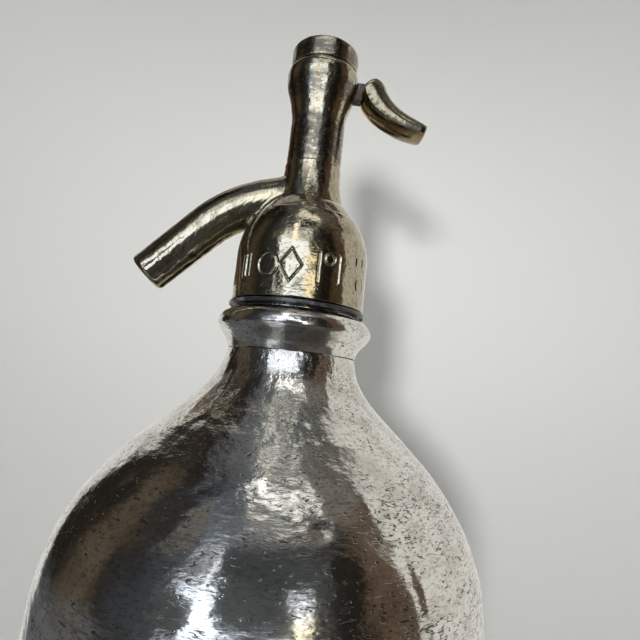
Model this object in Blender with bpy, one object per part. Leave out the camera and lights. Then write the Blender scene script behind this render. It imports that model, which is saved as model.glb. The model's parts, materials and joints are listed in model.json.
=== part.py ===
"""Soda siphon: a polished metal bottle under a screwed-on nickel head with a spout and a side lever.

Units are metres and +Z is up.  The origin is the middle of the foot, on the surface the bottle stands on.
The spout points to -X and the thumb lever to +X.  Pressing the lever's outer end down turns it about
lever_pin.  Its inner tip then lifts the yoke, the stem and the valve against valve_spring.
"""

import math

import bmesh
import bpy
from mathutils import Matrix, Vector

# Fits and cuts
FIT = 0.0003            # gap between two pieces that rest, screw or slide on each other
SADDLE_GAP = 0.0004     # gap between the spout's shaped end and the head it sits on
OVERRUN = 0.001         # how far a cutter runs past the face it opens
WELD = 0.000001         # points closer than this are one point

# Bottle body
BODY_HEIGHT = 0.2146            # foot to the seam under the neck collar
BODY_RADIUS = 0.0582            # at the foot of the shoulder, the widest place
BODY_BASE_RADIUS = 0.0570       # the wall draws in slightly towards the foot
BODY_WALL = 0.0028
SHOULDER_HEIGHT = 0.0786
BASE_ROUND = 0.0115             # rounding between the wall and the foot
FOOT_WIDTH = 0.0050             # width of the flat ring it stands on
BASE_RISE = 0.0035              # height of the raised middle of the base
NECK_RADIUS = 0.0184            # outside of the neck at the seam
NECK_BORE = 0.0145
NECK_BORE_DEPTH = 0.0095

# The shoulder, as shares of its height up from the widest place and of its step in radius
SHOULDER_SHARES = (
    (0.957, 0.013), (0.903, 0.065), (0.852, 0.141), (0.823, 0.206), (0.776, 0.299),
    (0.721, 0.410), (0.684, 0.503), (0.642, 0.593), (0.588, 0.681), (0.539, 0.756),
    (0.489, 0.822), (0.436, 0.879), (0.384, 0.922), (0.316, 0.957), (0.206, 0.987), (0.0, 1.0),
)

# Neck collar
COLLAR_HEIGHT = 0.0117          # seam to the ledge that carries the gasket
COLLAR_RING_RADIUS = 0.0182
COLLAR_RING_HEIGHT = 0.0004
FLANGE_RADIUS = 0.02235
FINISH_RADIUS = 0.0170          # the screwed neck inside the head's skirt
FINISH_HEIGHT = 0.0149
NECK_WAY = 0.0115               # the clear way through the neck
SPIGOT_LENGTH = 0.0090          # the collar's tail inside the bottle's neck

# The flange, as shares of its height and of its step in radius over the neck, from the top down
FLANGE_SHARES = (
    (0.991, 0.076), (0.920, 0.506), (0.823, 0.810), (0.690, 0.987), (0.575, 1.0),
    (0.451, 0.785), (0.292, 0.405), (0.150, 0.127), (0.0, 0.0),
)

# Seals at the neck
GASKET_RADIUS = 0.02005
GASKET_THICKNESS = 0.0012
MOUTH_WASHER_THICKNESS = 0.0017
MOUTH_WASHER_BORE = 0.0118

# Head body, outside
SKIRT_RADIUS = 0.0195
SKIRT_HEIGHT = 0.0146
DOME_HEIGHT = 0.0170
DOME_TOP_RADIUS = 0.0105
COLUMN_FOOT_HEIGHT = 0.0115     # the hollow curve from the dome up to the ring seam
COLUMN_FOOT_RADIUS = 0.00865
DOME_ROUND_POWER = 1.8          # the dome's radius falls as a power of the height share
DOME_DROP_POWER = 0.8
COLUMN_FOOT_POWER = 1.6

# Head body, inside
SOCKET_RADIUS = 0.0063          # the screwed bore that holds the valve seat and the tube nut
CHAMBER_RADIUS = 0.0050
GLAND_FLOOR_DEPTH = 0.0013      # ring seam down to the floor under the packing
GLAND_FLOOR = 0.0012            # thickness of that floor
GLAND_BORE = 0.0044
HEAD_SPIGOT_RADIUS = 0.0069     # the screwed stub that carries the lever housing
HEAD_SPIGOT_MARGIN = 0.0009     # how far the stub stands over the gland nut

# Spout
SPOUT_DROP = 0.00933            # ring seam down to the spout's centre line at the head's axis
SPOUT_START_ANGLE = math.radians(6.6)
SPOUT_END_ANGLE = math.radians(46.6)
SPOUT_RUN = 0.00585
SPOUT_BEND_RADIUS = 0.0397
SPOUT_TAIL = 0.0221
SPOUT_ROOT_RADIUS = 0.0069
SPOUT_TIP_RADIUS = 0.0060
SPOUT_RIM_ROUND = 0.0013
SPOUT_BORE_ROOT = 0.0031
SPOUT_BORE_TIP = 0.0046
SPOUT_SPIGOT_RADIUS = 0.0040
SPOUT_SPIGOT_START = 0.0058     # distance of the spigot's end from the head's axis
SPOUT_SPIGOT_END = 0.0140

# Lever housing, outside
COLUMN_RADIUS = 0.0084
COLUMN_HEIGHT = 0.0132
BULB_RADIUS = 0.0113
BULB_RISE = 0.0159
BULB_TOP_RADIUS = 0.0100
BULB_TOP_HEIGHT = 0.0030
BULB_RISE_POWER = 1.25
BULB_TOP_POWER = 3.0

# Lever housing, inside
HOUSING_NECK_RADIUS = 0.0075    # the screwed neck inside the top cap
HOUSING_NECK_HEIGHT = 0.0044
SPRING_BORE = 0.0056
BULB_BORE = 0.0060
GUIDE_HEIGHT = 0.0020           # thickness of the wall that guides the stem over the spring
SLOT_HEIGHT_ABOVE = 0.0033      # over the lever pin's axis
SLOT_HEIGHT_BELOW = 0.0042      # under the lever pin's axis

# Top cap
CAP_RADIUS = 0.01055
CAP_HEIGHT = 0.0061
CAP_CEILING = 0.0015
CAP_EDGE_ROUND = 0.0009

# Lever and its pin
PIN_OFFSET = 0.0085             # the pin's axis from the head's axis
PIN_DROP = 0.0019               # below the bulb's widest place
PIN_RADIUS = 0.0012
PIN_REAR_REACH = 0.0068         # towards +Y, where the hole opens
PIN_FRONT_REACH = 0.0058        # towards -Y, where the hole ends blind
BLADE_THICKNESS = 0.0035
BLADE_EYE_RADIUS = 0.00295
BLADE_NECK_HALF_HEIGHT = 0.0010
BLADE_TIP_RADIUS = 0.0022
BLADE_REACH = 0.0062            # from the pin's axis into the thumb piece
THUMB_REACH = 0.0257            # from the pin's axis to the thumb piece's end
THUMB_DROP = 0.0122             # from the pin's axis down to that end
THUMB_WIDTH = 0.0086

# The thumb piece's lower and upper lines from heel to tip, as shares of its reach and drop measured
# from the pin's axis, and its width at each pair of points as shares of its full width
THUMB_UNDER_SHARES = (
    (0.215, 0.250), (0.188, 0.160), (0.182, 0.040), (0.196, -0.100), (0.226, -0.230), (0.270, -0.360),
    (0.325, -0.485), (0.395, -0.600), (0.490, -0.725), (0.600, -0.835), (0.730, -0.930), (0.850, -0.978),
    (0.945, -0.995),
)
THUMB_OVER_SHARES = (
    (0.255, 0.335), (0.300, 0.415), (0.345, 0.440), (0.400, 0.375), (0.440, 0.270), (0.470, 0.130),
    (0.508, 0.000), (0.560, -0.140), (0.645, -0.295), (0.735, -0.415), (0.840, -0.520), (0.930, -0.610),
    (0.995, -0.690),
)
THUMB_WIDTH_SHARES = (0.45, 0.78, 0.94, 1.0, 1.0, 1.0, 1.0, 1.0, 1.0, 1.0, 1.0, 1.0, 0.93)
# Half of its loaf-shaped section, as shares of the half width and of the height
THUMB_SECTION_SHARES = (
    (1.0, 0.0), (0.966, 0.35), (0.81, 0.68), (0.574, 0.88), (0.307, 0.975), (0.0, 1.0),
)

# Yoke on the stem's top
YOKE_RADIUS = 0.0042
YOKE_ABOVE = 0.0044             # over the lever pin's height
YOKE_BELOW = 0.0058
YOKE_FLOOR_GAP = 0.0007         # over the bulb chamber's floor when the valve is shut

# Stem, spring and gland
STEM_RADIUS = 0.0020
STEM_TOP_RADIUS = 0.0015
STUD_RADIUS = 0.0010
STUD_OVERHANG = 0.0003
SPRING_SEAT_LIFT = 0.0005       # over the head's stub when the valve is shut
SPRING_SEAT_THICKNESS = 0.0015
SPRING_SEAT_RADIUS = 0.0052
SPRING_RADIUS = 0.0039          # to the middle of the wire
SPRING_WIRE = 0.0010
SPRING_TURNS = 5
PACKING_HEIGHT = 0.0018
GLAND_NUT_HEIGHT = 0.0033
GLAND_SLOT_WIDTH = 0.0012
GLAND_SLOT_DEPTH = 0.0011

# Valve and its seat
CUP_RADIUS = 0.0044
CUP_WALL = 0.0006
CUP_FLOOR = 0.0021
CUP_RIM = 0.0022
RUBBER_THICKNESS = 0.0027
RUBBER_NUT_RADIUS = 0.0020      # across the corners
RUBBER_NUT_HEIGHT = 0.0013
SEAT_BORE = 0.0027
SEAT_LIP_WIDTH = 0.0007
SEAT_LIP_HEIGHT = 0.0009
SEAT_NOSE_HEIGHT = 0.0019
SEAT_BODY_HEIGHT = 0.0032
SEAT_WASHER_THICKNESS = 0.0005

# Dip tube and what holds it
TUBE_RADIUS = 0.0040
TUBE_BORE = 0.0026
TUBE_FLOOR_GAP = 0.0060         # under the tube's foot, for the drink to enter
GROMMET_HEIGHT = 0.0037
TUBE_NUT_THREAD = 0.0045
TUBE_NUT_FLANGE_RADIUS = 0.0082  # across the corners
TUBE_NUT_FLANGE_HEIGHT = 0.0028

# Facets
BODY_SEGMENTS = 40
HEAD_SEGMENTS = 32
SMALL_SEGMENTS = 20
SPOUT_SIDES = 20
HEX = 6
ARC_STEPS = 4

# Heights along the axis, from the foot up
SEAM = BODY_HEIGHT
COLLAR_BASE = SEAM + FIT
COLLAR_LEDGE = COLLAR_BASE + COLLAR_HEIGHT
GASKET_BASE = COLLAR_LEDGE + FIT
HEAD_BASE = GASKET_BASE + GASKET_THICKNESS + FIT
RING_SEAM = HEAD_BASE + SKIRT_HEIGHT + DOME_HEIGHT + COLUMN_FOOT_HEIGHT
HOUSING_BASE = RING_SEAM + FIT
BULB_MIDDLE = HOUSING_BASE + COLUMN_HEIGHT + BULB_RISE
HOUSING_SHOULDER = BULB_MIDDLE + BULB_TOP_HEIGHT
CAP_BASE = HOUSING_SHOULDER + FIT
CAP_TOP = CAP_BASE + CAP_HEIGHT

# Heights inside the head, from the mouth of the neck up to the stem's shoulder
MOUTH = COLLAR_LEDGE + FINISH_HEIGHT
MOUTH_WASHER_BASE = MOUTH + FIT
HEAD_CEILING = MOUTH_WASHER_BASE + MOUTH_WASHER_THICKNESS + FIT
TUBE_NUT_SHOULDER = HEAD_CEILING - FIT
GROMMET_BASE = TUBE_NUT_SHOULDER + TUBE_NUT_THREAD + FIT
SEAT_BASE = GROMMET_BASE + GROMMET_HEIGHT + FIT
SEAT_WASHER_BASE = SEAT_BASE + SEAT_BODY_HEIGHT + FIT
SOCKET_TOP = SEAT_WASHER_BASE + SEAT_WASHER_THICKNESS + FIT
SEAT_LIP = SEAT_BASE + SEAT_BODY_HEIGHT + SEAT_NOSE_HEIGHT + SEAT_LIP_HEIGHT
RUBBER_BASE = SEAT_LIP + FIT
CUP_FLOOR_BASE = RUBBER_BASE + RUBBER_THICKNESS + FIT
STEM_SHOULDER = CUP_FLOOR_BASE + CUP_FLOOR + FIT
RUBBER_NUT_BASE = RUBBER_BASE - FIT - RUBBER_NUT_HEIGHT

# Heights of the gland, the spring and the lever, from the ring seam up
PACKING_FLOOR = RING_SEAM - GLAND_FLOOR_DEPTH
CHAMBER_TOP = PACKING_FLOOR - GLAND_FLOOR
PACKING_BASE = PACKING_FLOOR + FIT
GLAND_NUT_BASE = PACKING_BASE + PACKING_HEIGHT + FIT
HEAD_SPIGOT_TOP = GLAND_NUT_BASE + GLAND_NUT_HEIGHT + HEAD_SPIGOT_MARGIN
SPRING_SEAT_BASE = HEAD_SPIGOT_TOP + SPRING_SEAT_LIFT
STEM_STEP = SPRING_SEAT_BASE - FIT
SPRING_BASE = SPRING_SEAT_BASE + SPRING_SEAT_THICKNESS + FIT
PIN_HEIGHT = BULB_MIDDLE - PIN_DROP
YOKE_BASE = PIN_HEIGHT - YOKE_BELOW
BULB_FLOOR = YOKE_BASE - YOKE_FLOOR_GAP
SPRING_CEILING = BULB_FLOOR - GUIDE_HEIGHT
SPRING_TOP = SPRING_CEILING - FIT
WINDOW_HALF_HEIGHT = BLADE_TIP_RADIUS + FIT
WINDOW_HALF_WIDTH = BLADE_THICKNESS / 2 + FIT
STEM_TOP = PIN_HEIGHT - WINDOW_HALF_HEIGHT - FIT
SPOUT_ROOT_HEIGHT = RING_SEAM - SPOUT_DROP
TUBE_TOP = SEAT_BASE - 2 * FIT
TUBE_FOOT = BASE_RISE + BODY_WALL + TUBE_FLOOR_GAP

# Finishes: linear colour, roughness, metallic
ALUMINIUM = ((0.75, 0.73, 0.67), 0.16, 1.0)
NICKEL = ((0.57, 0.53, 0.41), 0.14, 1.0)
BRASS = ((0.60, 0.42, 0.18), 0.30, 1.0)
STEEL = ((0.45, 0.45, 0.46), 0.30, 1.0)
RUBBER = ((0.02, 0.02, 0.02), 0.60, 0.0)
FIBRE = ((0.20, 0.08, 0.05), 0.80, 0.0)
GLASS = ((0.80, 0.86, 0.84), 0.05, 0.0)


def clear_scene():
    """Remove every object that is already in the file."""
    for existing in list(bpy.data.objects):
        bpy.data.objects.remove(existing, do_unlink=True)


def material(name, finish):
    """Make the sub-part's own material from a (colour, roughness, metallic) finish."""
    colour, roughness, metallic = finish
    made = bpy.data.materials.new(name)
    made.use_nodes = True
    shader = made.node_tree.nodes["Principled BSDF"]
    shader.inputs["Base Color"].default_value = (*colour, 1.0)
    shader.inputs["Roughness"].default_value = roughness
    shader.inputs["Metallic"].default_value = metallic
    made.diffuse_color = (*colour, 1.0)
    return made


def mesh_object(name, shape, place, finish=None):
    """Turn a bmesh into an object at place, welded, facing outwards and shaded smooth."""
    bmesh.ops.remove_doubles(shape, verts=shape.verts, dist=WELD)
    bmesh.ops.recalc_face_normals(shape, faces=shape.faces)
    mesh = bpy.data.meshes.new(name)
    shape.to_mesh(mesh)
    shape.free()
    mesh.shade_smooth()
    mesh.set_sharp_from_angle(angle=math.radians(35))
    made = bpy.data.objects.new(name, mesh)
    made.location = place
    bpy.context.scene.collection.objects.link(made)
    if finish is None:
        made.hide_render = True
        made.display_type = "WIRE"
    else:
        mesh.materials.append(material(name, finish))
    return made


def turned(name, profile, base, finish=None, segments=SMALL_SEGMENTS, on_axis=False):
    """Spin a profile of (radius, height) points about Z.

    The profile is a closed loop, or with on_axis a line that starts and ends on the axis.
    Heights are measured from base.
    """
    shape = bmesh.new()
    points = [shape.verts.new((radius, 0.0, height)) for radius, height in profile]
    lines = [shape.edges.new(pair) for pair in zip(points, points[1:])]
    if not on_axis:
        lines.append(shape.edges.new((points[-1], points[0])))
    bmesh.ops.spin(
        shape, geom=points + lines, cent=(0, 0, 0), axis=(0, 0, 1),
        angle=2 * math.pi, steps=segments,
    )
    return mesh_object(name, shape, (0, 0, base), finish)


def ring_profile(bore, radius, height):
    """A plain ring: its bore, its outside and its height."""
    return [(bore, height), (radius, height), (radius, 0.0), (bore, 0.0)]


def rod(name, radius, start, end, finish=None, segments=SMALL_SEGMENTS):
    """A round bar, or a hexagonal one with 6 segments, from the point start to the point end."""
    along = Vector(end) - Vector(start)
    shape = bmesh.new()
    bmesh.ops.create_cone(
        shape, cap_ends=True, segments=segments, radius1=radius, radius2=radius, depth=along.length,
    )
    turn = along.to_track_quat("Z", "Y").to_matrix()
    bmesh.ops.rotate(shape, verts=shape.verts, cent=(0, 0, 0), matrix=turn)
    return mesh_object(name, shape, (Vector(start) + Vector(end)) / 2, finish)


def block(name, low, high):
    """A rectangular cutter between two corners."""
    size = Vector(high) - Vector(low)
    shape = bmesh.new()
    bmesh.ops.create_cube(shape, size=1.0, matrix=Matrix.Diagonal((*size, 1.0)))
    return mesh_object(name, shape, (Vector(high) + Vector(low)) / 2)


def swept(name, centres, radii, tangents, place, finish=None):
    """A round bar of changing radius along a path in the XZ plane, closed at both ends."""
    shape = bmesh.new()
    rings = []
    for centre, radius, tangent in zip(centres, radii, tangents):
        side = Vector((0.0, 1.0, 0.0))
        across = side.cross(tangent)
        ring = []
        for index in range(SPOUT_SIDES):
            angle = 2 * math.pi * index / SPOUT_SIDES
            point = centre + radius * (math.cos(angle) * across + math.sin(angle) * side)
            ring.append(shape.verts.new(point))
        rings.append(ring)
    for ring, following in zip(rings, rings[1:]):
        for index in range(SPOUT_SIDES):
            after = (index + 1) % SPOUT_SIDES
            shape.faces.new((ring[index], ring[after], following[after], following[index]))
    shape.faces.new(rings[0])
    shape.faces.new(rings[-1])
    return mesh_object(name, shape, place, finish)


def cut(target, tool, operation="DIFFERENCE"):
    """Cut the tool out of the target, or join it on with operation UNION."""
    step = target.modifiers.new(tool.name, "BOOLEAN")
    step.operation = operation
    step.solver = "EXACT"
    step.object = tool


def arc(centre_radius, centre_height, radius, start, end, steps=ARC_STEPS):
    """Points (radius, height) round a rounding's centre, from one angle in degrees to another."""
    points = []
    for index in range(steps + 1):
        angle = math.radians(start + (end - start) * index / steps)
        points.append((
            centre_radius + radius * math.cos(angle),
            centre_height + radius * math.sin(angle),
        ))
    return points


def inset(points, depth):
    """Move a falling (radius, height) outline inwards by depth, square to itself."""
    moved = []
    for index, (radius, height) in enumerate(points):
        before = points[max(index - 1, 0)]
        after = points[min(index + 1, len(points) - 1)]
        run = Vector((after[0] - before[0], after[1] - before[1])).normalized()
        moved.append((radius + run.y * depth, height - run.x * depth))
    return moved


def bottle_wall():
    """The outside of the bottle from the seam down to the flat of the foot."""
    points = [(NECK_RADIUS, BODY_HEIGHT)]
    for height_share, radius_share in SHOULDER_SHARES:
        radius = NECK_RADIUS + (BODY_RADIUS - NECK_RADIUS) * radius_share
        height = BODY_HEIGHT - SHOULDER_HEIGHT * (1 - height_share)
        points.append((radius, height))
    centre = BODY_BASE_RADIUS - BASE_ROUND
    points += arc(centre, BASE_ROUND, BASE_ROUND, 0, -90)
    return points


def make_bottle_body():
    """The hollow bottle: open at the neck, with a raised base inside its foot ring."""
    outside = bottle_wall()
    foot_inside = outside[-1][0] - FOOT_WIDTH
    neck_foot = BODY_HEIGHT - NECK_BORE_DEPTH
    inside = [
        point for point in inset(outside, BODY_WALL)
        if point[0] > NECK_BORE and BASE_RISE + BODY_WALL < point[1] < neck_foot
    ]
    profile = [(0.0, BASE_RISE + BODY_WALL), (inside[-1][0] - BODY_WALL, BASE_RISE + BODY_WALL)]
    profile += reversed(inside)
    profile += [(NECK_BORE, neck_foot), (NECK_BORE, BODY_HEIGHT)]
    profile += outside
    profile += [(foot_inside, 0.0), (foot_inside - BASE_RISE, BASE_RISE), (0.0, BASE_RISE)]
    return turned("bottle_body", profile, 0.0, ALUMINIUM, BODY_SEGMENTS, on_axis=True)


def make_neck_collar():
    """The turned collar in the bottle's neck: its flange shows, its screwed finish is in the head."""
    flange_top = COLLAR_HEIGHT - COLLAR_RING_HEIGHT
    finish_top = COLLAR_HEIGHT + FINISH_HEIGHT
    spigot = NECK_BORE - FIT
    profile = [
        (NECK_WAY, finish_top), (FINISH_RADIUS, finish_top), (FINISH_RADIUS, COLLAR_HEIGHT),
        (COLLAR_RING_RADIUS, COLLAR_HEIGHT), (COLLAR_RING_RADIUS, flange_top),
    ]
    for height_share, radius_share in FLANGE_SHARES:
        radius = NECK_RADIUS + (FLANGE_RADIUS - NECK_RADIUS) * radius_share
        profile.append((radius, flange_top * height_share))
    profile += [(spigot, 0.0), (spigot, -SPIGOT_LENGTH), (NECK_WAY, -SPIGOT_LENGTH)]
    return turned("neck_collar", profile, COLLAR_BASE, ALUMINIUM, HEAD_SEGMENTS)


def make_neck_seals():
    """The black gasket that shows under the skirt, and the washer on the mouth of the neck."""
    bore = FINISH_RADIUS + FIT
    half = GASKET_THICKNESS / 2
    gasket = [(bore, GASKET_THICKNESS)]
    gasket += arc(GASKET_RADIUS - half, half, half, 90, -90)
    gasket.append((bore, 0.0))
    turned("skirt_gasket", gasket, GASKET_BASE, RUBBER, HEAD_SEGMENTS)
    washer = ring_profile(MOUTH_WASHER_BORE, FINISH_RADIUS, MOUTH_WASHER_THICKNESS)
    turned("mouth_washer", washer, MOUTH_WASHER_BASE, RUBBER, SMALL_SEGMENTS)


def head_outline():
    """The outside of the head from the ring seam down to the skirt's rim, heights from its base."""
    dome_top = SKIRT_HEIGHT + DOME_HEIGHT
    points = []
    for index in range(2 * ARC_STEPS, 0, -1):
        share = index / (2 * ARC_STEPS)
        spread = (1 - share) ** COLUMN_FOOT_POWER
        radius = COLUMN_FOOT_RADIUS + (DOME_TOP_RADIUS - COLUMN_FOOT_RADIUS) * spread
        points.append((radius, dome_top + COLUMN_FOOT_HEIGHT * share))
    for index in range(2 * ARC_STEPS, -1, -1):
        share = index / (2 * ARC_STEPS)
        spread = (1 - share ** DOME_ROUND_POWER) ** DOME_DROP_POWER
        radius = DOME_TOP_RADIUS + (SKIRT_RADIUS - DOME_TOP_RADIUS) * spread
        points.append((radius, SKIRT_HEIGHT + DOME_HEIGHT * share))
    points.append((SKIRT_RADIUS, 0.0))
    return points


def make_head_body(spout_hole):
    """The head: a skirt that screws on the neck, a valve chamber and a stub for the lever housing."""
    skirt_bore = FINISH_RADIUS + FIT
    stem_way = STEM_RADIUS + FIT
    profile = [
        (GLAND_BORE, HEAD_SPIGOT_TOP - HEAD_BASE),
        (HEAD_SPIGOT_RADIUS, HEAD_SPIGOT_TOP - HEAD_BASE),
        (HEAD_SPIGOT_RADIUS, RING_SEAM - HEAD_BASE),
    ]
    profile += head_outline()
    profile += [
        (skirt_bore, 0.0),
        (skirt_bore, HEAD_CEILING - HEAD_BASE),
        (SOCKET_RADIUS, HEAD_CEILING - HEAD_BASE),
        (SOCKET_RADIUS, SOCKET_TOP - HEAD_BASE),
        (CHAMBER_RADIUS, SOCKET_TOP - HEAD_BASE),
        (CHAMBER_RADIUS, CHAMBER_TOP - HEAD_BASE),
        (stem_way, CHAMBER_TOP - HEAD_BASE),
        (stem_way, PACKING_FLOOR - HEAD_BASE),
        (GLAND_BORE, PACKING_FLOOR - HEAD_BASE),
    ]
    head = turned("head_body", profile, HEAD_BASE, NICKEL, HEAD_SEGMENTS)
    cut(head, spout_hole)
    return head


def spout_path():
    """Centres, unit tangents and distances along the spout: a run, a bend and a straight tail."""
    centres = []
    tangents = []
    distances = []

    def add(x, z, angle, distance):
        centres.append(Vector((-x, 0.0, -z)))
        tangents.append(Vector((-math.cos(angle), 0.0, -math.sin(angle))))
        distances.append(distance)

    add(0.0, 0.0, SPOUT_START_ANGLE, 0.0)
    bend_x = SPOUT_RUN * math.cos(SPOUT_START_ANGLE)
    bend_z = SPOUT_RUN * math.sin(SPOUT_START_ANGLE)
    steps = 2 * ARC_STEPS
    for index in range(steps + 1):
        angle = SPOUT_START_ANGLE + (SPOUT_END_ANGLE - SPOUT_START_ANGLE) * index / steps
        x = bend_x + SPOUT_BEND_RADIUS * (math.sin(angle) - math.sin(SPOUT_START_ANGLE))
        z = bend_z - SPOUT_BEND_RADIUS * (math.cos(angle) - math.cos(SPOUT_START_ANGLE))
        add(x, z, angle, SPOUT_RUN + SPOUT_BEND_RADIUS * (angle - SPOUT_START_ANGLE))
    end_x, end_z = x, z
    bend_end = distances[-1]
    for share in (0.5, 1.0):
        reach = (SPOUT_TAIL - SPOUT_RIM_ROUND) * share
        x = end_x + reach * math.cos(SPOUT_END_ANGLE)
        z = end_z + reach * math.sin(SPOUT_END_ANGLE)
        add(x, z, SPOUT_END_ANGLE, bend_end + reach)
    for angle in (math.pi / 4, math.pi / 2):
        reach = SPOUT_TAIL - SPOUT_RIM_ROUND * (1 - math.sin(angle))
        x = end_x + reach * math.cos(SPOUT_END_ANGLE)
        z = end_z + reach * math.sin(SPOUT_END_ANGLE)
        add(x, z, SPOUT_END_ANGLE, bend_end + reach)
    return centres, tangents, distances


def make_spout():
    """The bent spout: saddled onto the head, with a spigot into the valve chamber and a through bore."""
    centres, tangents, distances = spout_path()
    place = (0, 0, SPOUT_ROOT_HEIGHT)
    length = distances[-1]
    outer = [
        SPOUT_ROOT_RADIUS + (SPOUT_TIP_RADIUS - SPOUT_ROOT_RADIUS) * distance / length
        for distance in distances
    ]
    rim_angle = math.pi / 4
    outer[-2] -= SPOUT_RIM_ROUND * (1 - math.cos(rim_angle))
    outer[-1] -= SPOUT_RIM_ROUND
    spout = swept("spout", centres, outer, tangents, place, NICKEL)

    outline = [(radius + SADDLE_GAP, height) for radius, height in head_outline()]
    envelope = [(0.0, outline[0][1])] + outline + [(0.0, 0.0)]
    saddle = turned("cutter_saddle", envelope, HEAD_BASE, None, HEAD_SEGMENTS, on_axis=True)
    cut(spout, saddle)

    root = Vector(place)
    spigot = rod(
        "cutter_spout_spigot", SPOUT_SPIGOT_RADIUS, root + tangents[0] * SPOUT_SPIGOT_START,
        root + tangents[0] * SPOUT_SPIGOT_END,
    )
    cut(spout, spigot, "UNION")

    bore = [
        SPOUT_BORE_ROOT + (SPOUT_BORE_TIP - SPOUT_BORE_ROOT) * distance / length
        for distance in distances
    ]
    bore_centres = centres[:-1] + [centres[-1] + tangents[-1] * OVERRUN]
    cut(spout, swept("cutter_spout_bore", bore_centres, bore, tangents, place))
    return spout


def make_spout_hole():
    """The cutter for the hole in the head that takes the spout's spigot."""
    _, tangents, _ = spout_path()
    root = Vector((0, 0, SPOUT_ROOT_HEIGHT))
    return rod(
        "cutter_spout_hole", SPOUT_SPIGOT_RADIUS + FIT, root,
        root + tangents[0] * (SKIRT_RADIUS + OVERRUN),
    )


def housing_outline():
    """The outside of the lever housing from its shoulder down, heights from its base."""
    bulb_middle = COLUMN_HEIGHT + BULB_RISE
    points = []
    for index in range(ARC_STEPS, 0, -1):
        share = index / ARC_STEPS
        radius = BULB_RADIUS - (BULB_RADIUS - BULB_TOP_RADIUS) * share ** BULB_TOP_POWER
        points.append((radius, bulb_middle + BULB_TOP_HEIGHT * share))
    for index in range(2 * ARC_STEPS, -1, -1):
        share = index / (2 * ARC_STEPS)
        eased = share ** BULB_RISE_POWER
        swell = eased * eased * (3 - 2 * eased)
        points.append((COLUMN_RADIUS + (BULB_RADIUS - COLUMN_RADIUS) * swell, COLUMN_HEIGHT + BULB_RISE * share))
    points.append((COLUMN_RADIUS, 0.0))
    return points


def make_lever_housing():
    """The column and bulb over the head: spring bore, stem guide, lever chamber, slot and pin hole."""
    neck_top = HOUSING_SHOULDER - HOUSING_BASE + HOUSING_NECK_HEIGHT
    stub_bore = HEAD_SPIGOT_RADIUS + FIT
    stub_top = HEAD_SPIGOT_TOP + FIT - HOUSING_BASE
    stem_way = STEM_TOP_RADIUS + FIT
    profile = [
        (BULB_BORE, neck_top), (HOUSING_NECK_RADIUS, neck_top),
        (HOUSING_NECK_RADIUS, HOUSING_SHOULDER - HOUSING_BASE),
    ]
    profile += housing_outline()
    profile += [
        (stub_bore, 0.0), (stub_bore, stub_top), (SPRING_BORE, stub_top),
        (SPRING_BORE, SPRING_CEILING - HOUSING_BASE), (stem_way, SPRING_CEILING - HOUSING_BASE),
        (stem_way, BULB_FLOOR - HOUSING_BASE), (BULB_BORE, BULB_FLOOR - HOUSING_BASE),
    ]
    housing = turned("lever_housing", profile, HOUSING_BASE, NICKEL, HEAD_SEGMENTS)

    slot = block(
        "cutter_lever_slot",
        (0.0, -WINDOW_HALF_WIDTH, PIN_HEIGHT - SLOT_HEIGHT_BELOW),
        (BULB_RADIUS + OVERRUN, WINDOW_HALF_WIDTH, PIN_HEIGHT + SLOT_HEIGHT_ABOVE),
    )
    cut(housing, slot)
    pin_hole = rod(
        "cutter_pin_hole", PIN_RADIUS + FIT,
        (PIN_OFFSET, -PIN_FRONT_REACH - FIT, PIN_HEIGHT),
        (PIN_OFFSET, BULB_RADIUS + OVERRUN, PIN_HEIGHT),
        segments=SMALL_SEGMENTS // 2,
    )
    cut(housing, pin_hole)
    return housing


def make_top_cap():
    """The cup-shaped cap that screws on the housing's neck."""
    bore = HOUSING_NECK_RADIUS + FIT
    ceiling = CAP_HEIGHT - CAP_CEILING
    centre = CAP_RADIUS - CAP_EDGE_ROUND
    profile = [(0.0, CAP_HEIGHT)]
    profile += arc(centre, CAP_HEIGHT - CAP_EDGE_ROUND, CAP_EDGE_ROUND, 90, 0)
    profile += [(CAP_RADIUS, 0.0), (bore, 0.0), (bore, ceiling), (0.0, ceiling)]
    return turned("top_cap", profile, CAP_BASE, NICKEL, HEAD_SEGMENTS, on_axis=True)


def extruded(name, outline, width, place, finish=None):
    """A plate of an (x, z) outline, as wide as given along Y."""
    shape = bmesh.new()
    corners = [shape.verts.new((x, -width / 2, z)) for x, z in outline]
    face = shape.faces.new(corners)
    grown = bmesh.ops.extrude_face_region(shape, geom=[face])
    moved = [item for item in grown["geom"] if isinstance(item, bmesh.types.BMVert)]
    bmesh.ops.translate(shape, verts=moved, vec=(0.0, width, 0.0))
    return mesh_object(name, shape, place, finish)


def lofted(name, sections, place, finish=None):
    """A solid through rings of points, each with as many points, closed at both ends."""
    shape = bmesh.new()
    rings = [[shape.verts.new(point) for point in section] for section in sections]
    for ring, following in zip(rings, rings[1:]):
        for i in range(len(ring)):
            j = (i + 1) % len(ring)
            shape.faces.new((ring[i], ring[j], following[j], following[i]))
    shape.faces.new(rings[0])
    shape.faces.new(rings[-1])
    return mesh_object(name, shape, place, finish)


def thumb_sections():
    """The thumb piece's rings from heel to tip: flat below, with a rounded back."""
    mirrored = [(-w, h) for w, h in reversed(THUMB_SECTION_SHARES[:-1])]
    section = list(THUMB_SECTION_SHARES) + mirrored
    rings = []
    for under, over, width in zip(THUMB_UNDER_SHARES, THUMB_OVER_SHARES, THUMB_WIDTH_SHARES):
        rings.append([
            (
                THUMB_REACH * (under[0] + (over[0] - under[0]) * h),
                THUMB_WIDTH / 2 * width * w,
                THUMB_DROP * (under[1] + (over[1] - under[1]) * h),
            )
            for w, h in section
        ])
    return rings


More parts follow.
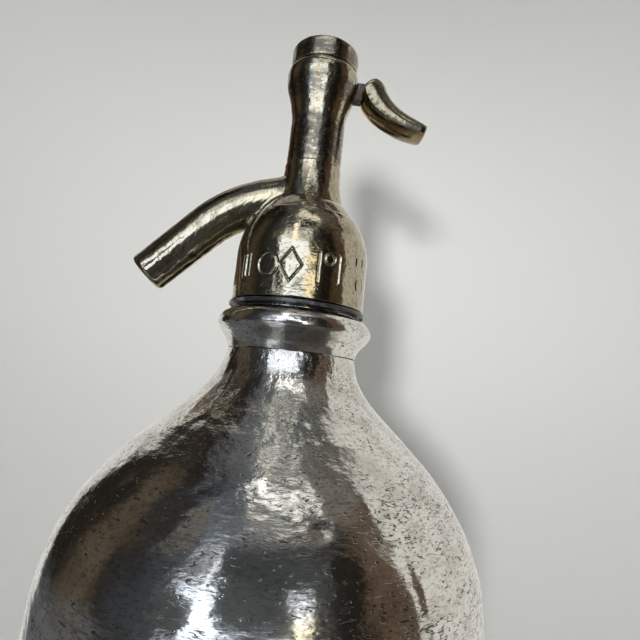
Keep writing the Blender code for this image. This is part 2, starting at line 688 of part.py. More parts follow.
def blade_outline():
    """The lever's flat blade: a round tip in the yoke, a thin neck, an eye and an arm."""
    eye_angle = math.degrees(math.asin(BLADE_NECK_HALF_HEIGHT / BLADE_EYE_RADIUS))
    tip_angle = math.degrees(math.asin(BLADE_NECK_HALF_HEIGHT / BLADE_TIP_RADIUS))
    outline = arc(-PIN_OFFSET, 0.0, BLADE_TIP_RADIUS, tip_angle, 360 - tip_angle, 3 * ARC_STEPS)
    outline += arc(0.0, 0.0, BLADE_EYE_RADIUS, 180 + eye_angle, 270)
    outline += [(BLADE_REACH, -BLADE_EYE_RADIUS), (BLADE_REACH, BLADE_EYE_RADIUS)]
    outline += arc(0.0, 0.0, BLADE_EYE_RADIUS, 90, 180 - eye_angle)
    return outline


def make_lever():
    """The lever, with its origin on the pin's axis: a blade inside and a curved thumb piece outside."""
    axis = (PIN_OFFSET, 0.0, PIN_HEIGHT)
    lever = lofted("lever", thumb_sections(), axis, NICKEL)
    cut(lever, extruded("cutter_lever_blade", blade_outline(), BLADE_THICKNESS, axis), "UNION")
    pin_hole = rod(
        "cutter_lever_hole", PIN_RADIUS + FIT,
        (PIN_OFFSET, -BLADE_THICKNESS, PIN_HEIGHT), (PIN_OFFSET, BLADE_THICKNESS, PIN_HEIGHT),
        segments=SMALL_SEGMENTS // 2,
    )
    cut(lever, pin_hole)
    return lever


def make_lever_pin():
    """The pin, pushed in from the back and blind at the front."""
    return rod(
        "lever_pin", PIN_RADIUS, (PIN_OFFSET, -PIN_FRONT_REACH, PIN_HEIGHT),
        (PIN_OFFSET, PIN_REAR_REACH, PIN_HEIGHT), STEEL, SMALL_SEGMENTS // 2,
    )


def make_valve_stem():
    """The stem: a stud through the valve, a thick length through the gland and a thin length above."""
    stud_end = RUBBER_NUT_BASE - STUD_OVERHANG
    profile = [
        (0.0, STEM_TOP - stud_end), (STEM_TOP_RADIUS, STEM_TOP - stud_end),
        (STEM_TOP_RADIUS, STEM_STEP - stud_end), (STEM_RADIUS, STEM_STEP - stud_end),
        (STEM_RADIUS, STEM_SHOULDER - stud_end), (STUD_RADIUS, STEM_SHOULDER - stud_end),
        (STUD_RADIUS, 0.0), (0.0, 0.0),
    ]
    return turned("valve_stem", profile, stud_end, BRASS, SMALL_SEGMENTS // 2, on_axis=True)


def make_stem_yoke():
    """The block on the stem's top, with a window right through it for the lever's tip."""
    height = YOKE_BELOW + YOKE_ABOVE
    socket_top = YOKE_BELOW - WINDOW_HALF_HEIGHT
    socket = STEM_TOP_RADIUS + FIT
    profile = [
        (0.0, height), (YOKE_RADIUS, height), (YOKE_RADIUS, 0.0), (socket, 0.0),
        (socket, socket_top + OVERRUN), (0.0, socket_top + OVERRUN),
    ]
    yoke = turned("stem_yoke", profile, YOKE_BASE, BRASS, SMALL_SEGMENTS, on_axis=True)
    window = block(
        "cutter_yoke_window",
        (-YOKE_RADIUS - OVERRUN, -WINDOW_HALF_WIDTH, PIN_HEIGHT - WINDOW_HALF_HEIGHT),
        (YOKE_RADIUS + OVERRUN, WINDOW_HALF_WIDTH, PIN_HEIGHT + WINDOW_HALF_HEIGHT),
    )
    cut(yoke, window)
    return yoke


def make_valve_spring():
    """The closing spring round the stem: one helix between the spring seat and the housing."""
    seat_end = SPRING_BASE + SPRING_WIRE / 2
    ceiling_end = SPRING_TOP - SPRING_WIRE / 2
    curve = bpy.data.curves.new("valve_spring", "CURVE")
    curve.dimensions = "3D"
    curve.bevel_depth = SPRING_WIRE / 2
    curve.bevel_resolution = 1
    curve.use_fill_caps = True
    count = SPRING_TURNS * 10 + 1
    line = curve.splines.new("POLY")
    line.points.add(count - 1)
    for index in range(count):
        share = index / (count - 1)
        angle = 2 * math.pi * SPRING_TURNS * share
        line.points[index].co = (
            SPRING_RADIUS * math.cos(angle), SPRING_RADIUS * math.sin(angle),
            (ceiling_end - seat_end) * share, 1.0,
        )
    curve.materials.append(material("valve_spring", STEEL))
    made = bpy.data.objects.new("valve_spring", curve)
    made.location = (0, 0, seat_end)
    bpy.context.scene.collection.objects.link(made)
    return made


def make_gland():
    """The ring the spring pushes on, and the packing and the slotted nut that seal the stem."""
    seat = ring_profile(STEM_TOP_RADIUS + FIT, SPRING_SEAT_RADIUS, SPRING_SEAT_THICKNESS)
    turned("spring_seat", seat, SPRING_SEAT_BASE, BRASS)
    packing = ring_profile(STEM_RADIUS + FIT, GLAND_BORE - FIT, PACKING_HEIGHT)
    turned("gland_packing", packing, PACKING_BASE, RUBBER, SMALL_SEGMENTS // 2)
    nut_ring = ring_profile(STEM_RADIUS + FIT, GLAND_BORE - FIT, GLAND_NUT_HEIGHT)
    nut = turned("gland_nut", nut_ring, GLAND_NUT_BASE, BRASS)
    top = GLAND_NUT_BASE + GLAND_NUT_HEIGHT
    slot = block(
        "cutter_gland_slot",
        (-GLAND_BORE, -GLAND_SLOT_WIDTH / 2, top - GLAND_SLOT_DEPTH),
        (GLAND_BORE, GLAND_SLOT_WIDTH / 2, top + OVERRUN),
    )
    cut(nut, slot)


def make_valve():
    """The cup, the rubber and the small nut on the stem's stud."""
    stud_way = STUD_RADIUS + FIT
    inner = CUP_RADIUS - CUP_WALL
    cup = [
        (stud_way, CUP_FLOOR), (CUP_RADIUS, CUP_FLOOR), (CUP_RADIUS, -CUP_RIM), (inner, -CUP_RIM),
        (inner, 0.0), (stud_way, 0.0),
    ]
    turned("valve_cup", cup, CUP_FLOOR_BASE, BRASS)
    rubber = ring_profile(stud_way, inner - FIT, RUBBER_THICKNESS)
    turned("valve_rubber", rubber, RUBBER_BASE, RUBBER)
    nut = rod(
        "rubber_nut", RUBBER_NUT_RADIUS, (0, 0, RUBBER_NUT_BASE),
        (0, 0, RUBBER_NUT_BASE + RUBBER_NUT_HEIGHT), BRASS, HEX,
    )
    hole = rod(
        "cutter_nut_hole", stud_way, (0, 0, RUBBER_NUT_BASE - OVERRUN),
        (0, 0, RUBBER_NUT_BASE + RUBBER_NUT_HEIGHT + OVERRUN), segments=SMALL_SEGMENTS // 2,
    )
    cut(nut, hole)


def make_valve_seat():
    """The screwed-in seat with its raised lip, and the washer between it and the head."""
    body_top = SEAT_BODY_HEIGHT
    nose_top = body_top + SEAT_NOSE_HEIGHT
    lip_top = nose_top + SEAT_LIP_HEIGHT
    nose = CHAMBER_RADIUS - FIT
    seat = [
        (SEAT_BORE, lip_top), (SEAT_BORE + SEAT_LIP_WIDTH, lip_top),
        (SEAT_BORE + SEAT_LIP_WIDTH, nose_top), (nose, nose_top), (nose, body_top),
        (SOCKET_RADIUS - FIT, body_top), (SOCKET_RADIUS - FIT, 0.0), (SEAT_BORE, 0.0),
    ]
    turned("seat_insert", seat, SEAT_BASE, BRASS)
    washer = ring_profile(CHAMBER_RADIUS, SOCKET_RADIUS - FIT, SEAT_WASHER_THICKNESS)
    turned("seat_washer", washer, SEAT_WASHER_BASE, FIBRE)


def make_dip_tube():
    """The glass tube down to the bottle's floor, its rubber grommet and the nut that grips them."""
    tube = ring_profile(TUBE_BORE, TUBE_RADIUS, TUBE_TOP - TUBE_FOOT)
    turned("dip_tube", tube, TUBE_FOOT, GLASS)
    tube_way = TUBE_RADIUS + FIT
    grommet = ring_profile(tube_way, SOCKET_RADIUS - FIT, GROMMET_HEIGHT)
    turned("tube_grommet", grommet, GROMMET_BASE, RUBBER)
    flange_base = TUBE_NUT_SHOULDER - TUBE_NUT_FLANGE_HEIGHT
    nut = rod(
        "tube_nut", TUBE_NUT_FLANGE_RADIUS, (0, 0, flange_base), (0, 0, TUBE_NUT_SHOULDER), BRASS, HEX,
    )
    thread = rod(
        "cutter_nut_thread", SOCKET_RADIUS - FIT, (0, 0, flange_base + OVERRUN),
        (0, 0, TUBE_NUT_SHOULDER + TUBE_NUT_THREAD),
    )
    cut(nut, thread, "UNION")
    hole = rod(
        "cutter_tube_hole", tube_way, (0, 0, flange_base - OVERRUN),
        (0, 0, TUBE_NUT_SHOULDER + TUBE_NUT_THREAD + OVERRUN),
    )
    cut(nut, hole)


def build():
    """Make every piece of the siphon."""
    clear_scene()
    make_bottle_body()
    make_neck_collar()
    make_neck_seals()
    make_head_body(make_spout_hole())
    make_spout()
    make_lever_housing()
    make_top_cap()
    make_lever()
    make_lever_pin()
    make_valve_stem()
    make_stem_yoke()
    make_valve_spring()
    make_gland()
    make_valve()
    make_valve_seat()
    make_dip_tube()


build()
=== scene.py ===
"""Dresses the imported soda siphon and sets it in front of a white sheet, as it was photographed.

Lengths are in metres and +Z runs up the bottle's axis.  The spout points to -X, the thumb lever to +X,
and the camera stands on the -Y side, a little below the skirt's rim.  A bearing is an angle about Z in
degrees, 0 at -Y and 90 at +X.
"""

from __future__ import annotations

import json
import logging
import math
from dataclasses import dataclass
from enum import Enum

import bpy
import numpy as np
from mathutils import Matrix, Vector

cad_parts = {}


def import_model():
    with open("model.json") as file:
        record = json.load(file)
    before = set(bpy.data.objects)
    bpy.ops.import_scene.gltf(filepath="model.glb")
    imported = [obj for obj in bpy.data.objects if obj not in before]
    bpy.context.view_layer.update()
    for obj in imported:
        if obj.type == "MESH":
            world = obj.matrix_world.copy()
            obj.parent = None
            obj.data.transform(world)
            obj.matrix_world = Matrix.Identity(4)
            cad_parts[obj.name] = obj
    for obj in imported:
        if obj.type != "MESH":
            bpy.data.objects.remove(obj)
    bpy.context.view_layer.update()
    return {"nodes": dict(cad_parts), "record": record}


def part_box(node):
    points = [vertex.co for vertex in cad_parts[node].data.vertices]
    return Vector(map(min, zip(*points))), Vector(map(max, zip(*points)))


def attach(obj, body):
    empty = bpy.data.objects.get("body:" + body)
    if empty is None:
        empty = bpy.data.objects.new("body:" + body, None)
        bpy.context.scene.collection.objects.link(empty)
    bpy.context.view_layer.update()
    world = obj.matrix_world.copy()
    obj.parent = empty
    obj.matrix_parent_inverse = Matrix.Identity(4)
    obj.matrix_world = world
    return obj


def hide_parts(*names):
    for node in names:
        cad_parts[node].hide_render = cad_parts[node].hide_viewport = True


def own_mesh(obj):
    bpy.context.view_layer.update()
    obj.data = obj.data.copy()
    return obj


LOG = logging.getLogger("siphon")

MM = 0.001
SURFACE_MAP = "surface"     # every new piece's own UV map, in metres along and across its surface
SHARP_ANGLE = math.radians(32)
FIT = 0.3 * MM              # the gap between two neighbouring pieces
PIN_HEIGHT = 299.0 * MM     # the lever pin's axis
FULL_TURN = 2 * math.pi
FRONT = 0.75 * FULL_TURN    # the angle of -Y
NO_LENGTH = 1e-9            # points closer together than this are one
EVEN = 1000.0               # a pattern's size in millimetres along an axis on which it stays the same
PATTERN_SHIFT = (0.37, 0.29, 0.5)   # keeps the borders of a noise's cells off the axis

Array = np.ndarray
Piece = bpy.types.Object
Socket = bpy.types.NodeSocket
Pair = tuple[float, float]
Triple = tuple[float, float, float]
Layers = tuple[Socket, Socket, Socket]  # a finish's colour, roughness and height in millimetres


class Body(Enum):
    """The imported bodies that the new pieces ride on."""

    SIPHON = "siphon_body"
    LEVER = "lever_body"


class Slot(Enum):
    """The record's material slots."""

    ALUMINIUM = "polished_aluminium"
    NICKEL = "nickel_plate"
    BRASS = "brass"
    STEEL = "steel"
    RUBBER = "black_rubber"
    FIBRE = "red_fibre"
    GLASS = "clear_glass"


# Colour

def linear(hex_colour: str) -> tuple[float, float, float, float]:
    """Turns an sRGB hex colour, such as '#c8b89a', into linear RGBA."""
    channels = []
    for start in (1, 3, 5):
        value = int(hex_colour[start:start + 2], 16) / 255
        channels.append(value / 12.92 if value <= 0.04045 else ((value + 0.055) / 1.055) ** 2.4)
    return (*channels, 1.0)


# Curves

def travelled(line: Array) -> Array:
    """How far along a polyline each of its points lies."""
    return np.r_[0.0, np.cumsum(np.linalg.norm(np.diff(line, axis=0), axis=1))]


def smooth_step(t: Array) -> Array:
    """Goes smoothly from 0 to 1 as t does: t^2 (3 - 2 t)."""
    return t ** 2 * (3 - 2 * t)


def smooth_curve(points: Array, steps: int) -> Array:
    """Runs a smooth curve through points.

    Between two points it is the cubic whose slopes at its ends are the slopes of the parabola through
    each point and its neighbours, with the chord length as the parameter.

    Args:
        points: (n, 2) points in order.
        steps: how many pieces each stretch is divided into.

    Returns:
        (steps * (n - 1) + 1, 2) points.
    """
    chord = travelled(points)
    slope = np.gradient(points, chord, axis=0)
    t = np.linspace(0.0, 1.0, steps, endpoint=False)[None, :, None]
    span = np.diff(chord)[:, None, None]
    here, after = points[:-1, None, :], points[1:, None, :]
    run, run_after = slope[:-1, None, :] * span, slope[1:, None, :] * span
    curve = (
        here * smooth_step(1 - t) + run * t * (1 - t) ** 2
        + after * smooth_step(t) - run_after * t ** 2 * (1 - t)
    )
    return np.vstack([curve.reshape(-1, points.shape[1]), points[-1:]])


def from_shares(shares: tuple, radii: Pair, heights: Pair, steps: int) -> Array:
    """Runs a smooth profile through rough shares.

    Args:
        shares: pairs of a share of the way between the heights and one between the radii.
        radii: the radii at shares 0 and 1.
        heights: the heights at shares 0 and 1.
        steps: how many pieces each stretch is divided into.

    Returns:
        (n, 2) radii and heights.
    """
    share = np.array(shares)[:, ::-1]
    start, end = np.array([radii, heights]).T
    return smooth_curve(start + (end - start) * share, steps)


def arc(centre: tuple[float, float], radius: float, start: float, end: float, steps: int = 8) -> Array:
    """Points round a centre from one angle in degrees to another: centre + radius * (cos a, sin a)."""
    angle = np.radians(np.linspace(start, end, steps + 1))
    return np.stack([centre[0] + radius * np.cos(angle), centre[1] + radius * np.sin(angle)], axis=1)


def evenly(line: Array, spacing: float) -> Array:
    """Cuts each stretch of a polyline into equal pieces no longer than spacing, and keeps its corners."""
    parts = [line[:1]]
    for start, end in zip(line[:-1], line[1:]):
        count = max(1, math.ceil(float(np.linalg.norm(end - start)) / spacing))
        share = np.linspace(0.0, 1.0, count + 1)[1:, None]
        parts.append(start + (end - start) * share)
    return np.vstack(parts)


def eased(line: Array, spacing: float, width: float) -> Array:
    """Cuts a line into equal steps and takes the ripples out of it.

    Each point becomes the mean of its neighbours, weighted by a bell curve exp(-(s / width)^2 / 2) of
    their distance s.  Beyond the ends the line goes on as its own half turn, so that they keep their place.
    """
    chord = travelled(line)
    place = np.linspace(0.0, chord[-1], round(float(chord[-1]) / spacing) + 1)
    steps = np.stack([np.interp(place, chord, line[:, k]) for k in (0, 1)], axis=1)
    reach = math.ceil(3 * width / place[1])
    bell = np.exp(-0.5 * (np.arange(-reach, reach + 1) * place[1] / width) ** 2)
    wide = np.pad(steps, ((reach, reach), (0, 0)), mode="reflect", reflect_type="odd")
    return np.stack([np.convolve(wide[:, k], bell / bell.sum(), "valid") for k in (0, 1)], axis=1)


def held_ends(along: Array, width: float) -> Array:
    """A column of factors along a line, 0 at both ends and 1 from a width away from them."""
    return np.clip(np.minimum(along, along[-1] - along) / width, 0.0, 1.0)[:, None]


# Meshes

def link(name: str, data: bpy.types.ID) -> Piece:
    """Puts data into the scene as a new object at the origin."""
    made = bpy.data.objects.new(name, data)
    bpy.context.scene.collection.objects.link(made)
    return made


def mesh_object(name: str, points: Array, faces: list[list[int]], maps: Array | None = None) -> Piece:
    """Puts points, faces and, where there are some, map coordinates into a new mesh and links its object."""
    mesh = bpy.data.meshes.new(name)
    mesh.from_pydata(points.tolist(), [], faces)
    if maps is not None:
        mesh.uv_layers.new(name=SURFACE_MAP).data.foreach_set("uv", maps.astype(np.float32).ravel())
    mesh.shade_smooth()
    mesh.set_sharp_from_angle(angle=SHARP_ANGLE)
    return link(name, mesh)


def mesh_from_grid(name: str, points: Array, across: Array, along: Array, wrap_rows: bool = False) -> Piece:
    """Makes a surface from a grid of points whose columns run round a ring.

    Face (i, j) joins the points (i, j), (i + 1, j), (i + 1, j + 1) and (i, j + 1).  The columns always
    join up.  A row whose points all coincide becomes one point, with triangles round it.

    Args:
        name: the piece's name.
        points: (rows, columns, 3) places.
        across: (columns + 1,) first map coordinates.
        along: (rows,) or (rows + 1,) second map coordinates, one more where the rows wrap.
        wrap_rows: whether the last row joins the first.

    Returns:
        The new object, at the origin.
    """
    rows, columns = points.shape[:2]
    index = np.arange(rows * columns).reshape(rows, columns)
    pole = np.ptp(points, axis=1).max(axis=1) < NO_LENGTH
    index[pole] = index[pole, :1]
    used, index = np.unique(index, return_inverse=True)
    index = index.reshape(rows, columns)
    index = np.hstack([index, index[:, :1]])
    if wrap_rows:
        index = np.vstack([index, index[:1]])
    place = np.stack(np.broadcast_arrays(across, along[:len(index), None]), axis=2)

    def corners(grid: Array) -> Array:
        """The four corners of every face, in order, as (faces, 4, ...)."""
        return np.stack([grid[:-1, :-1], grid[1:, :-1], grid[1:, 1:], grid[:-1, 1:]], axis=2).reshape(
            -1, 4, *grid.shape[2:]
        )

    face, uv = corners(index), corners(place)
    top, bottom = face[:, 0] == face[:, 3], face[:, 1] == face[:, 2]
    kinds = ((~(top | bottom), [0, 1, 2, 3]), (top & ~bottom, [0, 1, 2]), (bottom & ~top, [0, 1, 3]))
    faces = sum((face[chosen][:, order].tolist() for chosen, order in kinds), [])
    maps = np.vstack([uv[chosen][:, order].reshape(-1, 2) for chosen, order in kinds])
    return mesh_object(name, points.reshape(-1, 3)[used], faces, maps)


def column_angles(front: int, back: int, spread: float) -> Array:
    """Angles of a ring's columns, from +Y round to +Y again, closer together in front.

    Args:
        front: how many columns lie within spread of -Y.
        back: how many lie elsewhere.
        spread: half the width of the fine part in degrees.
    """
    near, far = FRONT - math.radians(spread), FRONT + math.radians(spread)
    return np.concatenate([np.linspace(start, end, count, endpoint=False) for start, end, count in (
        (0.25 * FULL_TURN, near, back // 2), (near, far, front), (far, 1.25 * FULL_TURN, back // 2),
    )])


def bearings(angles: Array) -> Array:
    """The bearings of angles in radians, from -180 to 180."""
    return (np.degrees(angles - FRONT) + 180) % 360 - 180


def about_axis(radius: Array, angle: Array, height: Array) -> Array:
    """(..., 3) places (r cos a, r sin a, z) from radii, angles and heights."""
    return np.stack(np.broadcast_arrays(radius * np.cos(angle), radius * np.sin(angle), height), axis=-1)


def turned(
    name: str, angles: Array, outside: Array, shift: Array | float = 0.0,
    before: Array | tuple = (), after: Array | tuple = (),
) -> Piece:
    """Turns a profile about Z.

    The profile is before, outside and after, one after another.  It goes down the outside of the piece,
    and is a closed loop, or a line that starts on the axis.  Point (i, j) is
    ((r_i + p_ij) cos a_j, (r_i + p_ij) sin a_j, z_i), where p is the shift on the outside and 0 elsewhere.

    Args:
        name: the piece's name.
        angles: a, the columns' angles, rising over one turn.
        outside: (n, 2) radii and heights.
        shift: p, (n, columns) outward shifts.
        before: the profile's first radii and heights.
        after: its last ones.

    Returns:
        The new object.
    """
    first = np.reshape(before, (-1, 2))
    profile = np.vstack([first, outside, np.reshape(after, (-1, 2))])
    push = np.zeros((len(profile), len(angles)))
    push[len(first):len(first) + len(outside)] = shift
    points = about_axis(profile[:, :1] + push, angles, profile[:, 1:])
    on_axis = bool(profile[0, 0] < NO_LENGTH)
    line = profile if on_axis else np.vstack([profile, profile[:1]])
    across = (np.r_[angles, angles[0] + FULL_TURN] - angles[0]) * float(profile[:, 0].max())
    return mesh_from_grid(name, points, across, travelled(line), not on_axis)


def waves(angles: Array, heights: Array, radius: float, sizes: Pair, slope: float, seed: int) -> Array:
    """Random smooth waviness of a turned surface, as shifts that lie inwards or are 0.

    It is the sum of 60 products sin(m a + p) sin(n z + q) with whole m, so that it joins up, less its
    highest value.  Their wavelengths spread evenly on a log scale between the two sizes, and each has the
    height that gives the whole the wanted root-mean-square slope.

    Args:
        angles: (columns,) angles.
        heights: (rows,) distances along the surface.
        radius: the radius at which the wavelengths are counted.
        sizes: the shortest and the longest wavelength.
        slope: the wanted slope.
        seed: which of the random surfaces.
    """
    random = np.random.default_rng(seed)
    count = 60
    off_axes = 0.15     # radians between a wave's heading and the columns or rows, at the least
    size = np.exp(random.uniform(math.log(sizes[0]), math.log(sizes[1]), count))
    heading = random.uniform(off_axes, FULL_TURN / 4 - off_axes, count)
    around = np.maximum(1, np.round(FULL_TURN * radius / size * np.cos(heading)))
    along = FULL_TURN / size * np.sin(heading)
    phase = random.uniform(0.0, FULL_TURN, (2, count))
    height = slope * size / FULL_TURN / math.sqrt(count / 4)
    first = np.sin(angles[:, None] * around + phase[0]) * height
    second = np.sin(heights[:, None] * along + phase[1])
    total = second @ first.T
    return total - total.max()


def carve(target: Piece, cutter: Piece) -> None:
    """Cuts the closed cutter out of target for good, and removes the cutter."""
    step = target.modifiers.new("carve", "BOOLEAN")
    step.operation = "DIFFERENCE"
    step.solver = "EXACT"
    step.object = cutter
    seen = target.evaluated_get(bpy.context.evaluated_depsgraph_get())
    mesh = bpy.data.meshes.new_from_object(seen)
    target.modifiers.remove(step)
    target.data = mesh
    bpy.data.objects.remove(cutter)
    mesh.set_sharp_from_angle(angle=SHARP_ANGLE)


def slab(low: Triple, high: Triple) -> Piece:
    """A rectangular cutter between two corners."""
    x, y, z = np.meshgrid(*zip(low, high), indexing="ij")
    points = np.stack([x.ravel(), y.ravel(), z.ravel()], axis=1)
    faces = [[0, 1, 3, 2], [4, 6, 7, 5], [0, 4, 5, 1], [2, 3, 7, 6], [0, 2, 6, 4], [1, 5, 7, 3]]
    return mesh_object("cutter", points, faces, np.zeros((24, 2)))


# Materials

@dataclass(frozen=True)
class Nodes:
    """A node tree and the patterns put together in it.

    A pattern's size is in millimetres along X, Y and Z, or across and along the surface.
    """

    tree: bpy.types.NodeTree

    def add(self, kind: str, inputs: dict | None = None, **settings: object) -> bpy.types.Node:
        """Adds a shader node.

        Args:
            kind: the node's type without its 'ShaderNode' prefix.
            inputs: socket name or number to a value, or to another node's output, which is linked.
            **settings: the node's own properties, set before its inputs.

        Returns:
            The node.
        """
        node = self.tree.nodes.new("ShaderNode" + kind)
        for key, value in settings.items():
            setattr(node, key, value)
        for key, value in (inputs or {}).items():
            if isinstance(value, Socket):
                self.tree.links.new(value, node.inputs[key])
            else:
                node.inputs[key].default_value = value
        return node

    def scaled(self, place: Socket, size: tuple) -> Socket:
        """The place divided by a size."""
        scale = tuple(1 / (value * MM) for value in (*size, EVEN)[:3])
        return self.add("Mapping", {"Vector": place, "Location": PATTERN_SHIFT, "Scale": scale}).outputs[0]

    def cloud(self, place: Socket, size: tuple, detail: float = 3.0, edge: Pair | None = None) -> Socket:
        """A noise with spots of a size: 0 to 1, mostly 0.3 to 0.7, or 0 to 1 over an edge where one is given."""
        noise = self.add("TexNoise", {
            "Vector": self.scaled(place, size), "Scale": 1.0, "Detail": detail,
        }).outputs["Fac"]
        return self.step(noise, *edge) if edge else noise

    def ridge(self, noise: Socket, half: float) -> Socket:
        """Thin curved lines: 1 where a noise passes 0.5, falling to 0 at half away from that."""
        off = self.add("Math", {0: noise, 1: -0.5}, operation="ADD").outputs[0]
        away = self.add("Math", {0: off}, operation="ABSOLUTE").outputs[0]
        return self.step(away, half, 0.25 * half)

    def step(self, value: Socket, start: float, end: float, low: float = 0.0, high: float = 1.0) -> Socket:
        """Goes smoothly from low to high as value goes from start to end."""
        return self.add("MapRange", {
            "Value": value, "From Min": start, "From Max": end, "To Min": low, "To Max": high,
        }, interpolation_type="SMOOTHSTEP").outputs[0]

    def within(self, value: Socket, ends: Pair, soft: float) -> Socket:
        """1 between two ends and 0 outside them, with a smooth step of twice soft at each."""
        low, high = ends
        return self.product(
            self.step(value, low - soft, low + soft), self.step(value, high + soft, high - soft),
        )

    def total(self, *terms: tuple[Socket, float]) -> Socket:
        """The sum of sockets, each times its weight."""
        whole = 0.0
        for socket, weight in terms:
            whole = self.add("Math", {0: socket, 1: weight, 2: whole}, operation="MULTIPLY_ADD").outputs[0]
        return whole

    def product(self, first: Socket, *others: Socket | float) -> Socket:
        """The product of a socket and further sockets or numbers."""
        for other in others:
            first = self.add("Math", {0: first, 1: other}, operation="MULTIPLY").outputs[0]
        return first

    def coats(self, colour: tuple | Socket, *coats: tuple[Socket, float, tuple | Socket]) -> Socket:
        """Lays colours over a colour.  Each comes after its mask and the share of the mask that covers."""
        for mask, share, over in coats:
            cover = mask if share == 1.0 else self.product(mask, share)
            colour = self.add("Mix", {0: cover, 6: colour, 7: over}, data_type="RGBA").outputs[2]
        return colour


def dress(piece: Piece, material: bpy.types.Material) -> None:
    """Gives a piece its one material."""
    piece.data.materials.clear()
    piece.data.materials.append(material)


def plain_material(name: str, values: dict) -> tuple[bpy.types.Material, Nodes, bpy.types.Node]:
    """Makes a material with values on its shader's sockets, and returns it, its nodes and its shader."""
    made = bpy.data.materials.new(name)
    made.use_nodes = True
    shader = made.node_tree.nodes["Principled BSDF"]
    for socket, value in values.items():
        shader.inputs[socket].default_value = value
    return made, Nodes(made.node_tree), shader


@dataclass(frozen=True)
class Finish:
    """What all finishes share: a slot, a base colour, a roughness and how they are put together."""

    name: str
    slot: Slot
    colour: str
    roughness: float
    metallic: float = 0.0

    def material(self) -> bpy.types.Material:
        """Builds the finish from its plain values and the layers over them."""
        made, nodes, shader = plain_material(self.name, {
            "Base Color": linear(self.colour), "Roughness": self.roughness, "Metallic": self.metallic,
        })
        place = nodes.add("TexCoord").outputs["Object"]
        colour, roughness, height = self.layers(nodes, shader, place)
        bump = nodes.add("Bump", {"Height": height, "Distance": MM}).outputs[0]
        for name, socket in (("Base Color", colour), ("Roughness", roughness), ("Normal", bump)):
            nodes.tree.links.new(socket, shader.inputs[name])
        return made

    def layers(self, nodes: Nodes, shader: bpy.types.Node, place: Socket) -> Layers:
        """The finish's own layers.

        Args:
            nodes: the material's nodes.
            shader: its shader, for values that are the same all over.
            place: the place in Object coordinates.
        """
        raise NotImplementedError


@dataclass(frozen=True)
class PittedAluminium(Finish):
    """Spun and hand-polished aluminium: nearly a mirror, with many small dark dashes and short scratches.

    The marks are what the eye takes for age: dashes about 1.5 mm round the bottle and 0.3 mm up it, thick
    on the right, rare in front, and fainter on the straight wall than round the shoulder.  Turning lines
    and shallow dents break up each reflection's edges.
    """

    dark: str = "#39332b"
    stain: str = "#b3aca0"
    line_depth: float = 0.018
    dent_depth: float = 0.13
    lump_depth: float = 0.34
    mark_depth: float = 0.022
    grain_depth: float = 0.014
    wall: Pair = (105 * MM, 165 * MM)   # the heights between which the marks come up

    def layers(self, nodes: Nodes, shader: bpy.types.Node, place: Socket) -> Layers:
        """Lays the tarnish, the grain and the marks over the metal."""
        skin = nodes.add("UVMap", uv_map=SURFACE_MAP).outputs[0]
        shader.inputs["Anisotropic"].default_value = 0.6
        shader.inputs["Anisotropic Rotation"].default_value = 0.25
        tangent = nodes.add("Tangent", direction_type="RADIAL", axis="Z").outputs[0]
        nodes.tree.links.new(tangent, shader.inputs["Tangent"])
        side, _, up = nodes.add("SeparateXYZ", {0: place}).outputs
        crowd = nodes.total((nodes.cloud(place, (13, 13, 10), 2.0), 1.5), (side, 9.0))
        few = nodes.step(crowd, 0.72, 1.20)
        curl = nodes.ridge(nodes.cloud(skin, (4.2, 1.0), 1.5), 0.040)
        curled = nodes.total((nodes.cloud(skin, (1.9, 1.2), 1.0), 1.0), (few, 0.20))
        scratch = nodes.product(curl, nodes.step(curled, 0.60, 0.66))
        cells = nodes.add("TexVoronoi", {"Vector": nodes.scaled(skin, (1.9, 0.8)), "Scale": 1.0}).outputs
        lot = nodes.add("SeparateColor", {0: cells["Color"]}).outputs[0]
        pitted = nodes.total((lot, 1.0), (few, 0.55))
        pit = nodes.product(nodes.step(cells["Distance"], 0.36, 0.12), nodes.step(pitted, 1.06, 1.20))
        mark = nodes.add("Math", {0: scratch, 1: pit}, operation="MAXIMUM").outputs[0]
        mark = nodes.product(mark, nodes.step(up, *self.wall, 0.4, 1.0))
        lines = nodes.cloud(skin, (18, 0.7))
        dents = nodes.cloud(skin, (5.5, 2.2))
        lumps = nodes.cloud(skin, (12, 7), 2.0)
        grain = nodes.cloud(skin, (1.3, 0.5))
        tarnish = nodes.cloud(place, (7, 7, 5), 5.0, (0.42, 0.66))
        stain = linear(self.stain)
        return (
            nodes.coats(
                linear(self.colour), (tarnish, 0.5, stain), (nodes.step(grain, 0.45, 0.72), 1.0, stain),
                (mark, 0.8, linear(self.dark)),
            ),
            nodes.total((mark, 0.2), (tarnish, 0.05), (grain, 2 * self.roughness)),
            nodes.total(
                (mark, -self.mark_depth), (lines, self.line_depth), (dents, self.dent_depth),
                (lumps, self.lump_depth), (grain, self.grain_depth),
            ),
        )


